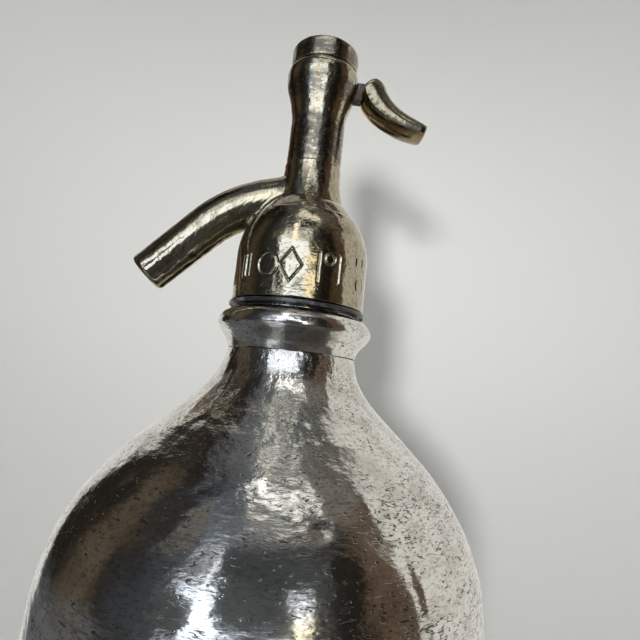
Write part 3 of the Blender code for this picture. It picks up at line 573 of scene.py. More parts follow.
@dataclass(frozen=True)
class WornNickel(Finish):
    """Old nickel plate over brass: a warm mirror, brown where it has worn, full of fine scratches and dings.

    Between some heights in millimetres it has dull grey bands with a rougher speckled skin: painted shade that
    darkens its reflections there.
    Where it faces down it can be painted golden-brown, a painted reflection of the warm metal below.
    """

    worn: str = "#6f5b3c"
    # painted shade: the grey of the bands that darken the reflections
    dull: str = "#5d5a56"
    # painted reflection: the golden-brown laid on faces that point down
    golden_reflection: str = "#7d5f33"
    brass: float = 0.0          # how strongly faces that point down are painted golden-brown, a painted reflection
    ding_depth: float = 0.050
    ring_depth: float = 0.010
    fine_depth: float = 0.012
    scratch_depth: float = 0.016
    # heights in millimetres of the painted shade bands
    shade_bands: tuple = ((273.0, 286.5), (292.5, 298.5), (304.5, 309.0))

    def layers(self, nodes: Nodes, shader: bpy.types.Node, place: Socket) -> Layers:
        """Lays the worn patches, the painted shade bands, specks, the painted golden reflection on down faces and
        scratches over the plate.
        """
        skin = nodes.add("UVMap", uv_map=SURFACE_MAP).outputs[0]
        up = nodes.add("SeparateXYZ", {0: place}).outputs[2]
        # painted shade: speckled grey bands at given heights that darken the reflections
        bands = nodes.total(*((nodes.within(up, (low * MM, high * MM), MM), 1.0) for low, high in self.shade_bands))
        painted_shade = nodes.product(bands, nodes.cloud(skin, (2.4, 1.1), 4.0, (0.68, 0.48)))
        wear = nodes.cloud(place, (3.5, 3.5, 5), 6.0, (0.50, 0.72))
        specks = nodes.cloud(skin, (0.9, 0.7), 3.0, (0.56, 0.66))
        worn = linear(self.worn)
        coats = [(wear, 0.5, worn), (painted_shade, 0.8, linear(self.dull)), (specks, 0.5, worn)]
        # painted reflection: faces that point down are tinted golden-brown
        if self.brass:
            down = nodes.add("SeparateXYZ", {0: nodes.add("TexCoord").outputs["Normal"]}).outputs[2]
            coats.append((nodes.step(down, -0.35, -0.6), self.brass, linear(self.golden_reflection)))
        dings = nodes.cloud(skin, (1.9, 1.4), 2.0)
        fine = nodes.cloud(skin, (0.7, 0.5), 2.0)
        rings = nodes.cloud(skin, (10, 0.45), 2.0)
        curl = nodes.ridge(nodes.cloud(skin, (3.2, 1.8), 2.0), 0.030)
        scratch = nodes.product(curl, nodes.cloud(skin, (2.0, 2.0), 1.0, (0.48, 0.56)))
        return (
            nodes.coats(linear(self.colour), *coats, (scratch, 0.5, worn)),
            nodes.total((wear, 0.06), (fine, 2 * self.roughness), (specks, 0.10), (painted_shade, 0.12)),
            nodes.total(
                (dings, self.ding_depth), (rings, self.ring_depth), (fine, self.fine_depth),
                (scratch, -self.scratch_depth),
            ),
        )


@dataclass(frozen=True)
class TurnedMetal(Finish):
    """Machined metal inside the valve: fine rings left by the lathe and a slightly dull skin."""

    stain: str = "#6d5a33"

    def layers(self, nodes: Nodes, shader: bpy.types.Node, place: Socket) -> Layers:
        """Lays stains over the metal and cuts the rings."""
        skin = nodes.cloud(place, (3, 3, 3), 4.0, (0.45, 0.75))
        rings = nodes.cloud(place, (30, 30, 0.25), 2.0)
        return (
            nodes.coats(linear(self.colour), (skin, 1.0, linear(self.stain))),
            nodes.total((skin, 0.2), (rings, 2 * self.roughness)), nodes.total((rings, 0.010)),
        )


@dataclass(frozen=True)
class PressedSheet(Finish):
    """Rubber or vulcanised fibre: even and dull, with a faint grain and greyer where it was touched."""

    bloom: str = "#34363a"
    grain: float = 0.35

    def layers(self, nodes: Nodes, shader: bpy.types.Node, place: Socket) -> Layers:
        """Lays the bloom over the sheet and gives it its grain."""
        bloom = nodes.cloud(place, (5, 5, 2), 5.0, (0.45, 0.80))
        grain = nodes.cloud(place, (self.grain,) * 3, 2.0)
        return (
            nodes.coats(linear(self.colour), (bloom, 1.0, linear(self.bloom))),
            nodes.total((bloom, 0.15), (grain, 2 * self.roughness)), nodes.total((grain, 0.012)),
        )


@dataclass(frozen=True)
class ClearGlass(Finish):
    """Drawn glass tube: clear, faintly green, with long soft draw lines."""

    draw: str = "#d4ddd8"

    def layers(self, nodes: Nodes, shader: bpy.types.Node, place: Socket) -> Layers:
        """Lets light through and gives the glass its draw lines."""
        shader.inputs["Transmission Weight"].default_value = 1.0
        shader.inputs["IOR"].default_value = 1.52
        film = nodes.cloud(place, (2, 2, 20))
        return (
            nodes.coats(linear(self.colour), (nodes.step(film, 0.4, 0.8), 1.0, linear(self.draw))),
            nodes.total((film, 2 * self.roughness)), nodes.total((film, 0.02)),
        )


FINISHES = (
    PittedAluminium("polished_pitted_aluminium", Slot.ALUMINIUM, "#dedcd5", 0.14, 1.0),
    WornNickel("worn_nickel_plate", Slot.NICKEL, "#ada48e", 0.09, 1.0),
    TurnedMetal("turned_brass", Slot.BRASS, "#c8a560", 0.14, 1.0),
    TurnedMetal("drawn_steel", Slot.STEEL, "#a7a6a4", 0.14, 1.0, "#6b6661"),
    PressedSheet("black_rubber", Slot.RUBBER, "#0b0b0c", 0.22),
    PressedSheet("red_vulcanised_fibre", Slot.FIBRE, "#6a2f22", 0.32, 0.0, "#4d251d", 0.6),
    ClearGlass("clear_drawn_glass", Slot.GLASS, "#eef5f1", 0.03),
)
# the thumb: a painted golden reflection under it and one painted shade band
THUMB_FINISH = WornNickel(
    "nickel_plate_painted_underside", Slot.NICKEL, "#b0a78f", 0.10, 1.0, brass=0.45, shade_bands=((286.0, 290.0),),
)
# painted shade: a darker, rougher copy of the nickel for the blade, which sits in the housing's slot
SHADED_ARM_FINISH = WornNickel("shaded_nickel_plate", Slot.NICKEL, "#6b6761", 0.22, 1.0)


# The pieces

@dataclass(frozen=True)
class Dent:
    """A knock in a turned surface: a groove between two ends, each a bearing and a height."""

    start: Pair
    end: Pair
    size: float
    depth: float

    def push(self, angles: Array, profile: Array) -> Array:
        """The inward shift, depth * exp(-(d / size)^2), where d is the distance from the segment."""
        radius = float(np.interp(-self.start[1], -profile[:, 1], profile[:, 0]))
        u = np.radians(bearings(angles))[None, :] * radius
        v = profile[:, 1:]
        first, last = (np.array([math.radians(end[0]) * radius, end[1]]) for end in (self.start, self.end))
        run = last - first
        share = np.clip(((u - first[0]) * run[0] + (v - first[1]) * run[1]) / (run @ run), 0, 1)
        far = np.hypot(u - first[0] - share * run[0], v - first[1] - share * run[1])
        return -self.depth * np.exp(-(far / self.size) ** 2)


@dataclass
class Bottle:
    """The bottle: a hollow spun body, open at the neck."""

    columns: tuple = (230, 110, 85)     # as column_angles takes them
    wall: float = 2.8 * MM
    base_radius: float = 57.0 * MM
    shoulder_height: float = 78.6 * MM
    base_round: float = 11.5 * MM
    foot_width: float = 5.0 * MM
    base_rise: float = 3.5 * MM
    neck_radius: float = 18.4 * MM
    neck_bore: float = 14.5 * MM
    neck_depth: float = 9.5 * MM
    # The shoulder, as shares of its height and of its step in radius, from the neck down
    shoulder: tuple = (
        (1.0, 0.0), (0.957, 0.013), (0.903, 0.065), (0.852, 0.141), (0.776, 0.299), (0.721, 0.410),
        (0.642, 0.593), (0.588, 0.681), (0.539, 0.756), (0.489, 0.822), (0.436, 0.879), (0.384, 0.922),
        (0.316, 0.957), (0.206, 0.987), (0.0, 1.0),
    )
    # Knocks that the photograph shows round the shoulder, and two more behind and below
    dents: tuple = (
        Dent((11.2, 179.6 * MM), (12.2, 179.5 * MM), 1.3 * MM, 0.30 * MM),
        Dent((31.7, 175.6 * MM), (34.7, 162.2 * MM), 1.0 * MM, 0.10 * MM),
        Dent((-19.6, 184.1 * MM), (-12.4, 184.8 * MM), 0.9 * MM, 0.07 * MM),
        Dent((0.8, 173.4 * MM), (9.1, 173.7 * MM), 0.9 * MM, 0.06 * MM),
        Dent((-32.0, 181.0 * MM), (-27.0, 179.0 * MM), 3.5 * MM, 0.18 * MM),
        Dent((-48.0, 176.0 * MM), (-42.0, 182.0 * MM), 4.0 * MM, 0.20 * MM),
        Dent((48.0, 172.0 * MM), (52.0, 166.0 * MM), 3.0 * MM, 0.12 * MM),
        Dent((22.0, 192.0 * MM), (30.0, 186.0 * MM), 3.2 * MM, 0.15 * MM),
        Dent((-6.0, 193.0 * MM), (2.0, 190.5 * MM), 3.0 * MM, 0.13 * MM),
        Dent((140.0, 120.0 * MM), (146.0, 112.0 * MM), 6.0 * MM, 0.25 * MM),
        Dent((-120.0, 70.0 * MM), (-112.0, 76.0 * MM), 5.0 * MM, 0.22 * MM),
    )
    ridge_height: float = 193.6 * MM
    ridge_rise: float = 0.50 * MM
    ridge_reach: Pair = (2.0 * MM, 3.2 * MM)    # above and below its height
    held: float = 6.0 * MM                      # over which the shifts fade at the neck and the foot

    def outline(self) -> Array:
        """The outside from the seam down to the middle of the raised base."""
        radius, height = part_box("bottle_body")[1].xz
        rough = from_shares(
            self.shoulder, (self.neck_radius, radius), (height - self.shoulder_height, height), 9,
        )
        shoulder = eased(rough, 0.7 * MM, 3.2 * MM)
        centre = self.base_radius - self.base_round
        base = arc((centre, self.base_round), self.base_round, 0, -90, 10)
        inner = centre - self.foot_width
        foot = np.array([[inner, 0.0], [inner - self.base_rise, self.base_rise], [0.0, self.base_rise]])
        return np.vstack([shoulder, evenly(np.vstack([shoulder[-1:], base[:1]]), 3 * MM)[1:-1], base, foot])

    def ridge(self, angles: Array, outside: Array) -> Array:
        """The rise of the faint ridge left where the neck's cone runs into the shoulder.

        With d as the distance from the ridge's height over its reach there, it is
        e^(c - sqrt(d^2 + c^2)), whose crest c rounds off, and a third higher at some bearings than at others.
        """
        crest = 0.3
        off = outside[:, 1] - self.ridge_height
        share = off / np.where(off > 0, *self.ridge_reach)
        rise = self.ridge_rise * np.exp(crest - np.hypot(share, crest))
        return rise[:, None] * (1 + 0.22 * np.sin(3 * angles + 0.6) + 0.12 * np.sin(7 * angles))

    def push(self, angles: Array, outside: Array) -> Array:
        """The outside's shifts: long waves left by the spinning, the dents and the ridge.

        All but the ridge lie inwards, and they fade to nothing at the neck and at the foot.
        """
        radius, height = outside.T
        shift = waves(angles, travelled(outside), 50 * MM, (7 * MM, 26 * MM), 0.030, 5)
        shift = shift + sum(dent.push(angles, outside) for dent in self.dents) + self.ridge(angles, outside)
        fade = np.clip((height[0] - height) / self.held, 0, 1) * np.clip(height / self.held, 0, 1)
        foot = (radius < self.base_radius - self.base_round - 0.1 * MM) & (height < self.base_round)
        fade[foot] = 0.0
        return shift * smooth_step(fade)[:, None]

    def build(self) -> Piece:
        """Makes the outside and, a wall's thickness in, the inside with a sixth of its points."""
        outside = self.outline()
        height = outside[0, 1]
        run = np.gradient(outside, axis=0)
        run /= np.linalg.norm(run, axis=1)[:, None]
        inside = outside + self.wall * np.stack([run[:, 1], -run[:, 0]], axis=1)
        floor, ledge = self.base_rise + self.wall, height - self.neck_depth
        keep = (inside[:, 0] > self.neck_bore) & (inside[:, 1] > floor) & (inside[:, 1] < ledge)
        inside = inside[keep][::-6]
        hidden = np.vstack([
            [[0.0, floor], [inside[0, 0] - self.wall, floor]], inside,
            [[self.neck_bore, ledge], [self.neck_bore, height]],
        ])
        angles = column_angles(*self.columns)
        return turned("bottle", angles, outside, self.push(angles, outside), hidden)


@dataclass
class NeckCollar:
    """The flanged collar in the bottle's neck and the black gasket on its ledge."""

    columns: tuple = (128, 64, 90)      # as column_angles takes them
    ring_radius: float = 18.2 * MM
    ring_height: float = 0.4 * MM
    ring_edge: float = 0.2 * MM
    neck_radius: float = 18.4 * MM
    flange_radius: float = 22.35 * MM
    finish_radius: float = 17.0 * MM
    spigot_radius: float = 14.2 * MM
    way: float = 11.5 * MM              # the radius of the way through it
    gasket_radius: float = 20.05 * MM
    # The flange, as shares of its height and of its step in radius over the neck, from the top down
    flange: tuple = (
        (1.0, -0.02), (0.991, 0.076), (0.920, 0.506), (0.823, 0.810), (0.690, 0.987), (0.575, 1.0),
        (0.451, 0.785), (0.292, 0.405), (0.150, 0.127), (0.0, 0.0),
    )

    def build_collar(self) -> Piece:
        """Turns the collar."""
        low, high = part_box("neck_collar")
        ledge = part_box("skirt_gasket")[0].z - FIT
        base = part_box("bottle_body")[1].z + FIT
        flange_top = ledge - self.ring_height
        flange = from_shares(self.flange, (self.neck_radius, self.flange_radius), (base, flange_top), 8)
        upper = np.array([
            [self.way, high.z], [self.finish_radius, high.z], [self.finish_radius, ledge],
            [self.ring_radius - self.ring_edge, ledge], [self.ring_radius, ledge - self.ring_edge],
            [self.ring_radius, flange_top + 0.1 * MM],
        ])
        lower = np.array([[self.spigot_radius, base], [self.spigot_radius, low.z], [self.way, low.z]])
        angles = column_angles(*self.columns)
        wide = waves(angles, np.linspace(0, 16 * MM, len(flange)), 20 * MM, (4 * MM, 14 * MM), 0.02, 11)
        ease = np.sin(np.linspace(0, FULL_TURN / 2, len(flange)))[:, None]
        return turned("neck_collar_turned", angles, flange, wide * ease, upper, lower)

    def build_gasket(self) -> Piece:
        """Turns the gasket: a flat ring with a rounded rim."""
        low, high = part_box("skirt_gasket")
        half = (high.z - low.z) / 2
        rim = arc((self.gasket_radius - half, low.z + half), half, 90, -90, 12)
        bore = self.finish_radius + FIT
        profile = np.vstack([[[bore, high.z]], rim, [[bore, low.z]]])
        return turned("gasket_ring", column_angles(*self.columns), profile)


class Stamp(Enum):
    """The plain shapes stamped in the skirt."""

    RING = "ring"
    LOZENGE = "lozenge"
    BAR = "bar"
    LADDER = "ladder"


@dataclass(frozen=True)
class Mark:
    """A plain stamped shape.  Its bearing is in degrees, 0 at -Y, and its height is above the rim."""

    shape: Stamp
    bearing: float
    height: float
    size: float

    def distance(self, u: Array, v: Array) -> Array:
        """How far points (u across, v up, from the shape's middle) lie from its nearest line.

        A ring's line is the circle |p| = size and a lozenge's is |u| + 0.7 |v| = size.  A bar is an
        upright segment of half length size, and a ladder three of them with a foot line.
        """
        if self.shape is Stamp.RING:
            return np.abs(np.hypot(u, v) - self.size)
        if self.shape is Stamp.LOZENGE:
            return np.abs(np.abs(u) + 0.7 * np.abs(v) - self.size) / math.hypot(1.0, 0.7)
        rest = np.maximum(np.abs(v) - self.size, 0.0)
        if self.shape is Stamp.BAR:
            return np.hypot(u, rest)
        pitch = 0.55 * self.size
        nearest = np.clip(np.round(u / pitch), -1, 1) * pitch
        foot = np.hypot(np.maximum(np.abs(u) - pitch, 0.0), v + self.size)
        return np.minimum(np.hypot(u - nearest, rest), foot)


@dataclass
class Head:
    """The head: a skirt over the neck, a round dome and the hollow foot of the column."""

    columns: tuple = (270, 100, 75)     # as column_angles takes them
    skirt_radius: float = 19.5 * MM
    skirt_height: float = 14.6 * MM
    skirt_bore: float = 17.3 * MM
    rim_round: float = 0.4 * MM
    dome_height: float = 17.0 * MM
    dome_top_radius: float = 10.5 * MM
    foot_height: float = 11.5 * MM
    foot_radius: float = 8.65 * MM
    stub_radius: float = 6.9 * MM
    # The chamber's corners: radius and depth under the ring seam, in millimetres
    chamber: tuple = ((6.3, 14.0), (5.0, 14.0), (5.0, 2.5), (2.3, 2.5), (2.3, 1.3), (4.4, 1.3))
    step_height: float = 26.2 * MM      # a fine turned step round the dome, above the rim
    step_depth: float = 0.16 * MM
    step_width: float = 0.014           # as a share of the dome's height
    line_half: float = 0.42 * MM        # half the width of a stamped line
    stamp_depth: float = 0.26 * MM
    marks: tuple = (
        Mark(Stamp.LADDER, -51.0, 8.4 * MM, 3.3 * MM),
        Mark(Stamp.RING, -27.5, 8.4 * MM, 2.9 * MM),
        Mark(Stamp.LOZENGE, -9.0, 8.6 * MM, 3.1 * MM),
        Mark(Stamp.BAR, 13.0, 8.8 * MM, 3.8 * MM),
        Mark(Stamp.BAR, 31.0, 9.2 * MM, 3.8 * MM),
        Mark(Stamp.RING, 22.0, 11.4 * MM, 1.5 * MM),
        Mark(Stamp.RING, 58.0, 6.6 * MM, 2.1 * MM),
        Mark(Stamp.BAR, 50.0, 13.0 * MM, 1.0 * MM),
        Mark(Stamp.BAR, 60.0, 13.6 * MM, 1.0 * MM),
    )

    def outline(self) -> Array:
        """The outside from the ring seam down to the rim.

        The dome's radius falls from the skirt's to its top's by (1 - t^1.8)^0.8 and the column's foot
        goes on from there by (1 - t)^1.6, where t is the share of each height.  The step fades over the
        dome's last fifth.
        """
        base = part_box("head_body")[0].z
        spring = base + self.skirt_height
        t = np.linspace(1.0, 0.0, 25)[:-1]
        foot = np.stack([
            self.foot_radius + (self.dome_top_radius - self.foot_radius) * (1 - t) ** 1.6,
            spring + self.dome_height + self.foot_height * t,
        ], axis=1)
        step = (self.step_height - self.skirt_height) / self.dome_height
        near_step = step + np.linspace(-0.012, 0.012, 5)
        t = np.sort(np.r_[np.sin(np.linspace(0.0, FULL_TURN / 4, 56)), near_step])[::-1]
        stepped = np.clip((t - step) / self.step_width, 0.0, 1.0) * np.clip((1 - t) / 0.2, 0.0, 1.0)
        dome = np.stack([
            self.dome_top_radius + (self.skirt_radius - self.dome_top_radius) * (1 - t ** 1.8) ** 0.8
            - self.step_depth * stepped,
            spring + self.dome_height * t,
        ], axis=1)
        rim = arc((self.skirt_radius - self.rim_round, base + self.rim_round), self.rim_round, 0, -90, 5)
        wall = evenly(np.vstack([dome[-1:], rim[:1]]), 0.2 * MM)[1:-1]
        return np.vstack([foot, dome, wall, rim])

    def stamped(self, angles: Array, outside: Array) -> Array:
        """The stamps' shifts: depth * (1 - (d / half)^2)^2 inwards within half a line's width."""
        total = np.zeros((len(outside), len(angles)))
        for mark in self.marks:
            u = np.radians(bearings(angles) - mark.bearing)[None, :] * self.skirt_radius
            v = outside[:, 1:] - outside[-1, 1] - mark.height
            near = mark.distance(u, v) / self.line_half
            total = np.minimum(total, -self.stamp_depth * np.clip(1 - near ** 2, 0.0, 1.0) ** 2)
        return total

    def build(self) -> Piece:
        """Turns the head with its bore and stub."""
        low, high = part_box("head_body")
        outside = self.outline()
        seam = outside[0, 1]
        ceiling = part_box("mouth_washer")[1].z + FIT
        chamber = np.array(self.chamber) * (MM, -MM) + (0.0, seam)
        stub = [[chamber[-1, 0], high.z], [self.stub_radius, high.z], [self.stub_radius, seam]]
        skirt = [[self.skirt_bore, low.z], [self.skirt_bore, ceiling], [chamber[0, 0], ceiling]]
        angles = column_angles(*self.columns)
        along = travelled(outside)
        wide = waves(angles, along, 17 * MM, (2.5 * MM, 13 * MM), 0.022, 23)
        shift = wide * held_ends(along, 2 * MM) + self.stamped(angles, outside)
        return turned("head_turned", angles, outside, shift, stub, np.vstack([skirt, chamber]))


@dataclass
class Spout:
    """The bent spout, fitted to the head and open at both ends."""

    rings: int = 150
    columns: int = 96
    run: float = 5.85 * MM
    bend_radius: float = 39.7 * MM
    start_angle: float = math.radians(6.6)
    end_angle: float = math.radians(46.6)
    tail: float = 22.1 * MM
    root_radius: float = 6.9 * MM
    root_height: float = 262.17 * MM
    tip_radius: float = 6.0 * MM
    rim_round: float = 1.3 * MM
    flare: float = 0.45 * MM            # how much wider it is where it meets the head
    flare_reach: float = 0.9 * MM
    bore_root: float = 3.1 * MM
    bore_tip: float = 4.6 * MM
    bore_start: float = 6.0 * MM        # from the head's axis
    mouth_radius: float = 4.0 * MM      # of the bore inside the head
    sunk: float = 0.02 * MM             # how deep its root lies in the head's skin

    @property
    def bend(self) -> float:
        """The bend's length."""
        return self.bend_radius * (self.end_angle - self.start_angle)

    @property
    def length(self) -> float:
        """The centre line's whole length."""
        return self.run + self.bend + self.tail

    def centre_line(self, s: Array) -> tuple[Array, Array]:
        """Places and angles along the centre line: a straight run, an arc and a straight tail.

        Args:
            s: distances from the head's axis.

        Returns:
            (..., 2) places in X and Z, and the angles below the horizontal.
        """
        first, last = self.start_angle, self.end_angle
        angle = first + np.clip((s - self.run) / self.bend_radius, 0.0, last - first)
        before = np.minimum(s, self.run)
        after = np.maximum(s - self.run - self.bend, 0.0)
        x = before * math.cos(first) + self.bend_radius * (np.sin(angle) - math.sin(first)) + after * math.cos(last)
        z = before * math.sin(first) - self.bend_radius * (np.cos(angle) - math.cos(first)) + after * math.sin(last)
        return np.stack([-x, self.root_height - z], axis=-1), angle

    def place(self, s: Array, radius: Array, around: Array) -> Array:
        """Points at distance s, a radius away from the centre line, at the angle around it from its top."""
        centre, angle = self.centre_line(s)
        up = radius * np.cos(around)
        return np.stack([
            centre[..., 0] - up * np.sin(angle), radius * np.sin(around), centre[..., 1] + up * np.cos(angle),
        ], axis=-1)

    def roots(self, head: Head, around: Array) -> Array:
        """The distance at which each line along the spout leaves the head.

        It is the first of 600 trial distances after the last one at which the line's radius about Z is
        less than the outline's at that height.
        """
        outline = head.outline()[::-1]
        trial = np.linspace(6 * MM, 26 * MM, 600)[:, None]
        x, y, z = np.moveaxis(self.place(trial + 0 * around, self.taper(trial) + self.flare, around), 2, 0)
        inside = np.hypot(x, y) - np.interp(z, outline[:, 1], outline[:, 0]) < -self.sunk
        return trial[np.minimum(len(trial) - 1, len(trial) - np.argmax(inside[::-1], axis=0)), 0]

    def taper(self, s: Array) -> Array:
        """The outside's radius, which falls evenly from the root's to the tip's."""
        return self.root_radius + (self.tip_radius - self.root_radius) / self.length * s

    def build(self, head: Head) -> Piece:
        """Sweeps the spout from the head's surface to its mouth and back through its bore."""
        around = FULL_TURN * np.arange(self.columns) / self.columns
        start = self.roots(head, around)
        end = self.length - self.rim_round
        share = np.linspace(0.0, 1.0, self.rings)[:, None] ** 1.35
        s = start + (end - start) * share
        wide = waves(around, share[:, 0] * end, 6.5 * MM, (3 * MM, 11 * MM), 0.022, 31)
        flare = self.flare * np.exp(-((s - start) / self.flare_reach))
        rim = np.radians(np.linspace(0, 90, 9))[1:, None]
        bore = np.linspace(self.length, self.bore_start, 40)[:, None]
        stretches = (
            (s, self.taper(s) + flare + wide * held_ends(share[:, 0], 0.06)),
            (end + self.rim_round * np.sin(rim), self.tip_radius - self.rim_round * (1 - np.cos(rim))),
            (bore, self.bore_root + (self.bore_tip - self.bore_root) * bore / self.length),
            (self.bore_start, self.mouth_radius),
            (start, self.mouth_radius),
        )
        s_all, radius = (np.vstack([part + 0 * around for part in parts]) for parts in zip(*stretches))
        across = np.linspace(0.0, FULL_TURN, self.columns + 1) * self.root_radius
        along = np.r_[0.0, np.cumsum(np.abs(np.diff(s_all.mean(axis=1))) + 0.01 * MM)]
        points = self.place(s_all, radius, around)
        return mesh_from_grid("spout_bent", points, across, np.r_[along, along[-1]], True)


@dataclass
class LeverHousing:
    """The column and bulb over the head and the cap on top."""

    columns: tuple = (150, 74, 95)      # as column_angles takes them
    column_radius: float = 8.4 * MM
    column_height: float = 13.2 * MM
    column_edge: float = 0.15 * MM
    bulb_radius: float = 11.3 * MM
    bulb_rise: float = 15.9 * MM
    bulb_top_radius: float = 10.0 * MM
    bulb_top_height: float = 3.0 * MM
    neck_radius: float = 7.5 * MM
    # The bore's corners: radius and height over the ring seam, in millimetres
    bore: tuple = ((7.2, 0.0), (7.2, 5.3), (5.6, 5.3), (5.6, 18.7), (1.8, 18.7), (1.8, 20.7), (6.0, 20.7))
    slot_half_width: float = 2.05 * MM
    slot_above: float = 3.3 * MM
    slot_below: float = 4.2 * MM
    cap_columns: tuple = (110, 50, 95)
    cap_round: float = 0.9 * MM
    cap_foot_round: float = 0.3 * MM
    cap_lip: float = 0.26 * MM          # how far the cap comes down round the bulb's shoulder
    cap_thickness: float = 1.5 * MM

    def outline(self) -> Array:
        """The outside from the shoulder down.

        The bulb swells out of the column by the smooth step of t^1.25 and draws in to its shoulder by
        t^3, where t is the share of each height.
        """
        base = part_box("lever_housing")[0].z
        middle = base + self.column_height + self.bulb_rise
        t = np.linspace(1.0, 0.0, 22)[:-1]
        top = np.stack([
            self.bulb_radius - (self.bulb_radius - self.bulb_top_radius) * t ** 3,
            middle + self.bulb_top_height * t,
        ], axis=1)
        t = np.linspace(1.0, 0.0, 61)
        rise = np.stack([
            self.column_radius + (self.bulb_radius - self.column_radius) * smooth_step(t ** 1.25),
            base + self.column_height + self.bulb_rise * t,
        ], axis=1)
        foot = [self.column_radius, base + self.column_edge]
        column = evenly(np.array([rise[-1], foot]), 0.5 * MM)[1:]
        return np.vstack([top, rise, column, [[self.column_radius - self.column_edge, base]]])

    def build(self) -> Piece:
        """Turns the housing and cuts the lever's slot."""
        low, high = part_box("lever_housing")
        outside = self.outline()
        shoulder = outside[0, 1]
        bore = np.array(self.bore) * MM + (0.0, low.z)
        neck = [
            [bore[-1, 0], high.z], [self.neck_radius, high.z], [self.neck_radius, shoulder],
            [outside[0, 0] - 0.2 * MM, shoulder],
        ]
        angles = column_angles(*self.columns)
        along = travelled(outside)
        wide = waves(angles, along, 9 * MM, (2 * MM, 9 * MM), 0.030, 41)
        made = turned("housing_turned", angles, outside, wide * held_ends(along, 1.5 * MM), neck, bore)
        carve(made, slab(
            (0.0, -self.slot_half_width, PIN_HEIGHT - self.slot_below),
            (self.bulb_radius + 1 * MM, self.slot_half_width, PIN_HEIGHT + self.slot_above),
        ))
        return made

    def build_cap(self) -> Piece:
        """Turns the cup-shaped cap."""
        low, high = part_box("top_cap")
        edge, small = self.cap_round, self.cap_foot_round
        rim = arc((high.x - edge, high.z - edge), edge, 90, 0, 8)
        base = low.z - self.cap_lip
        foot = arc((high.x - small, base + small), small, 0, -90, 4)
        side = evenly(np.vstack([rim[-1:], foot[:1]]), 0.35 * MM)[1:-1]
        ceiling = high.z - self.cap_thickness
        outside = np.vstack([rim, side, foot])
        bore = self.neck_radius + FIT
        angles = column_angles(*self.cap_columns)
        wide = waves(angles, np.linspace(0, 8 * MM, len(outside)), 10 * MM, (2 * MM, 7 * MM), 0.035, 47)
        inside = [[bore, base], [bore, ceiling], [0.0, ceiling]]
        return turned("cap_turned", angles, outside, wide, [[0.0, high.z]], inside)


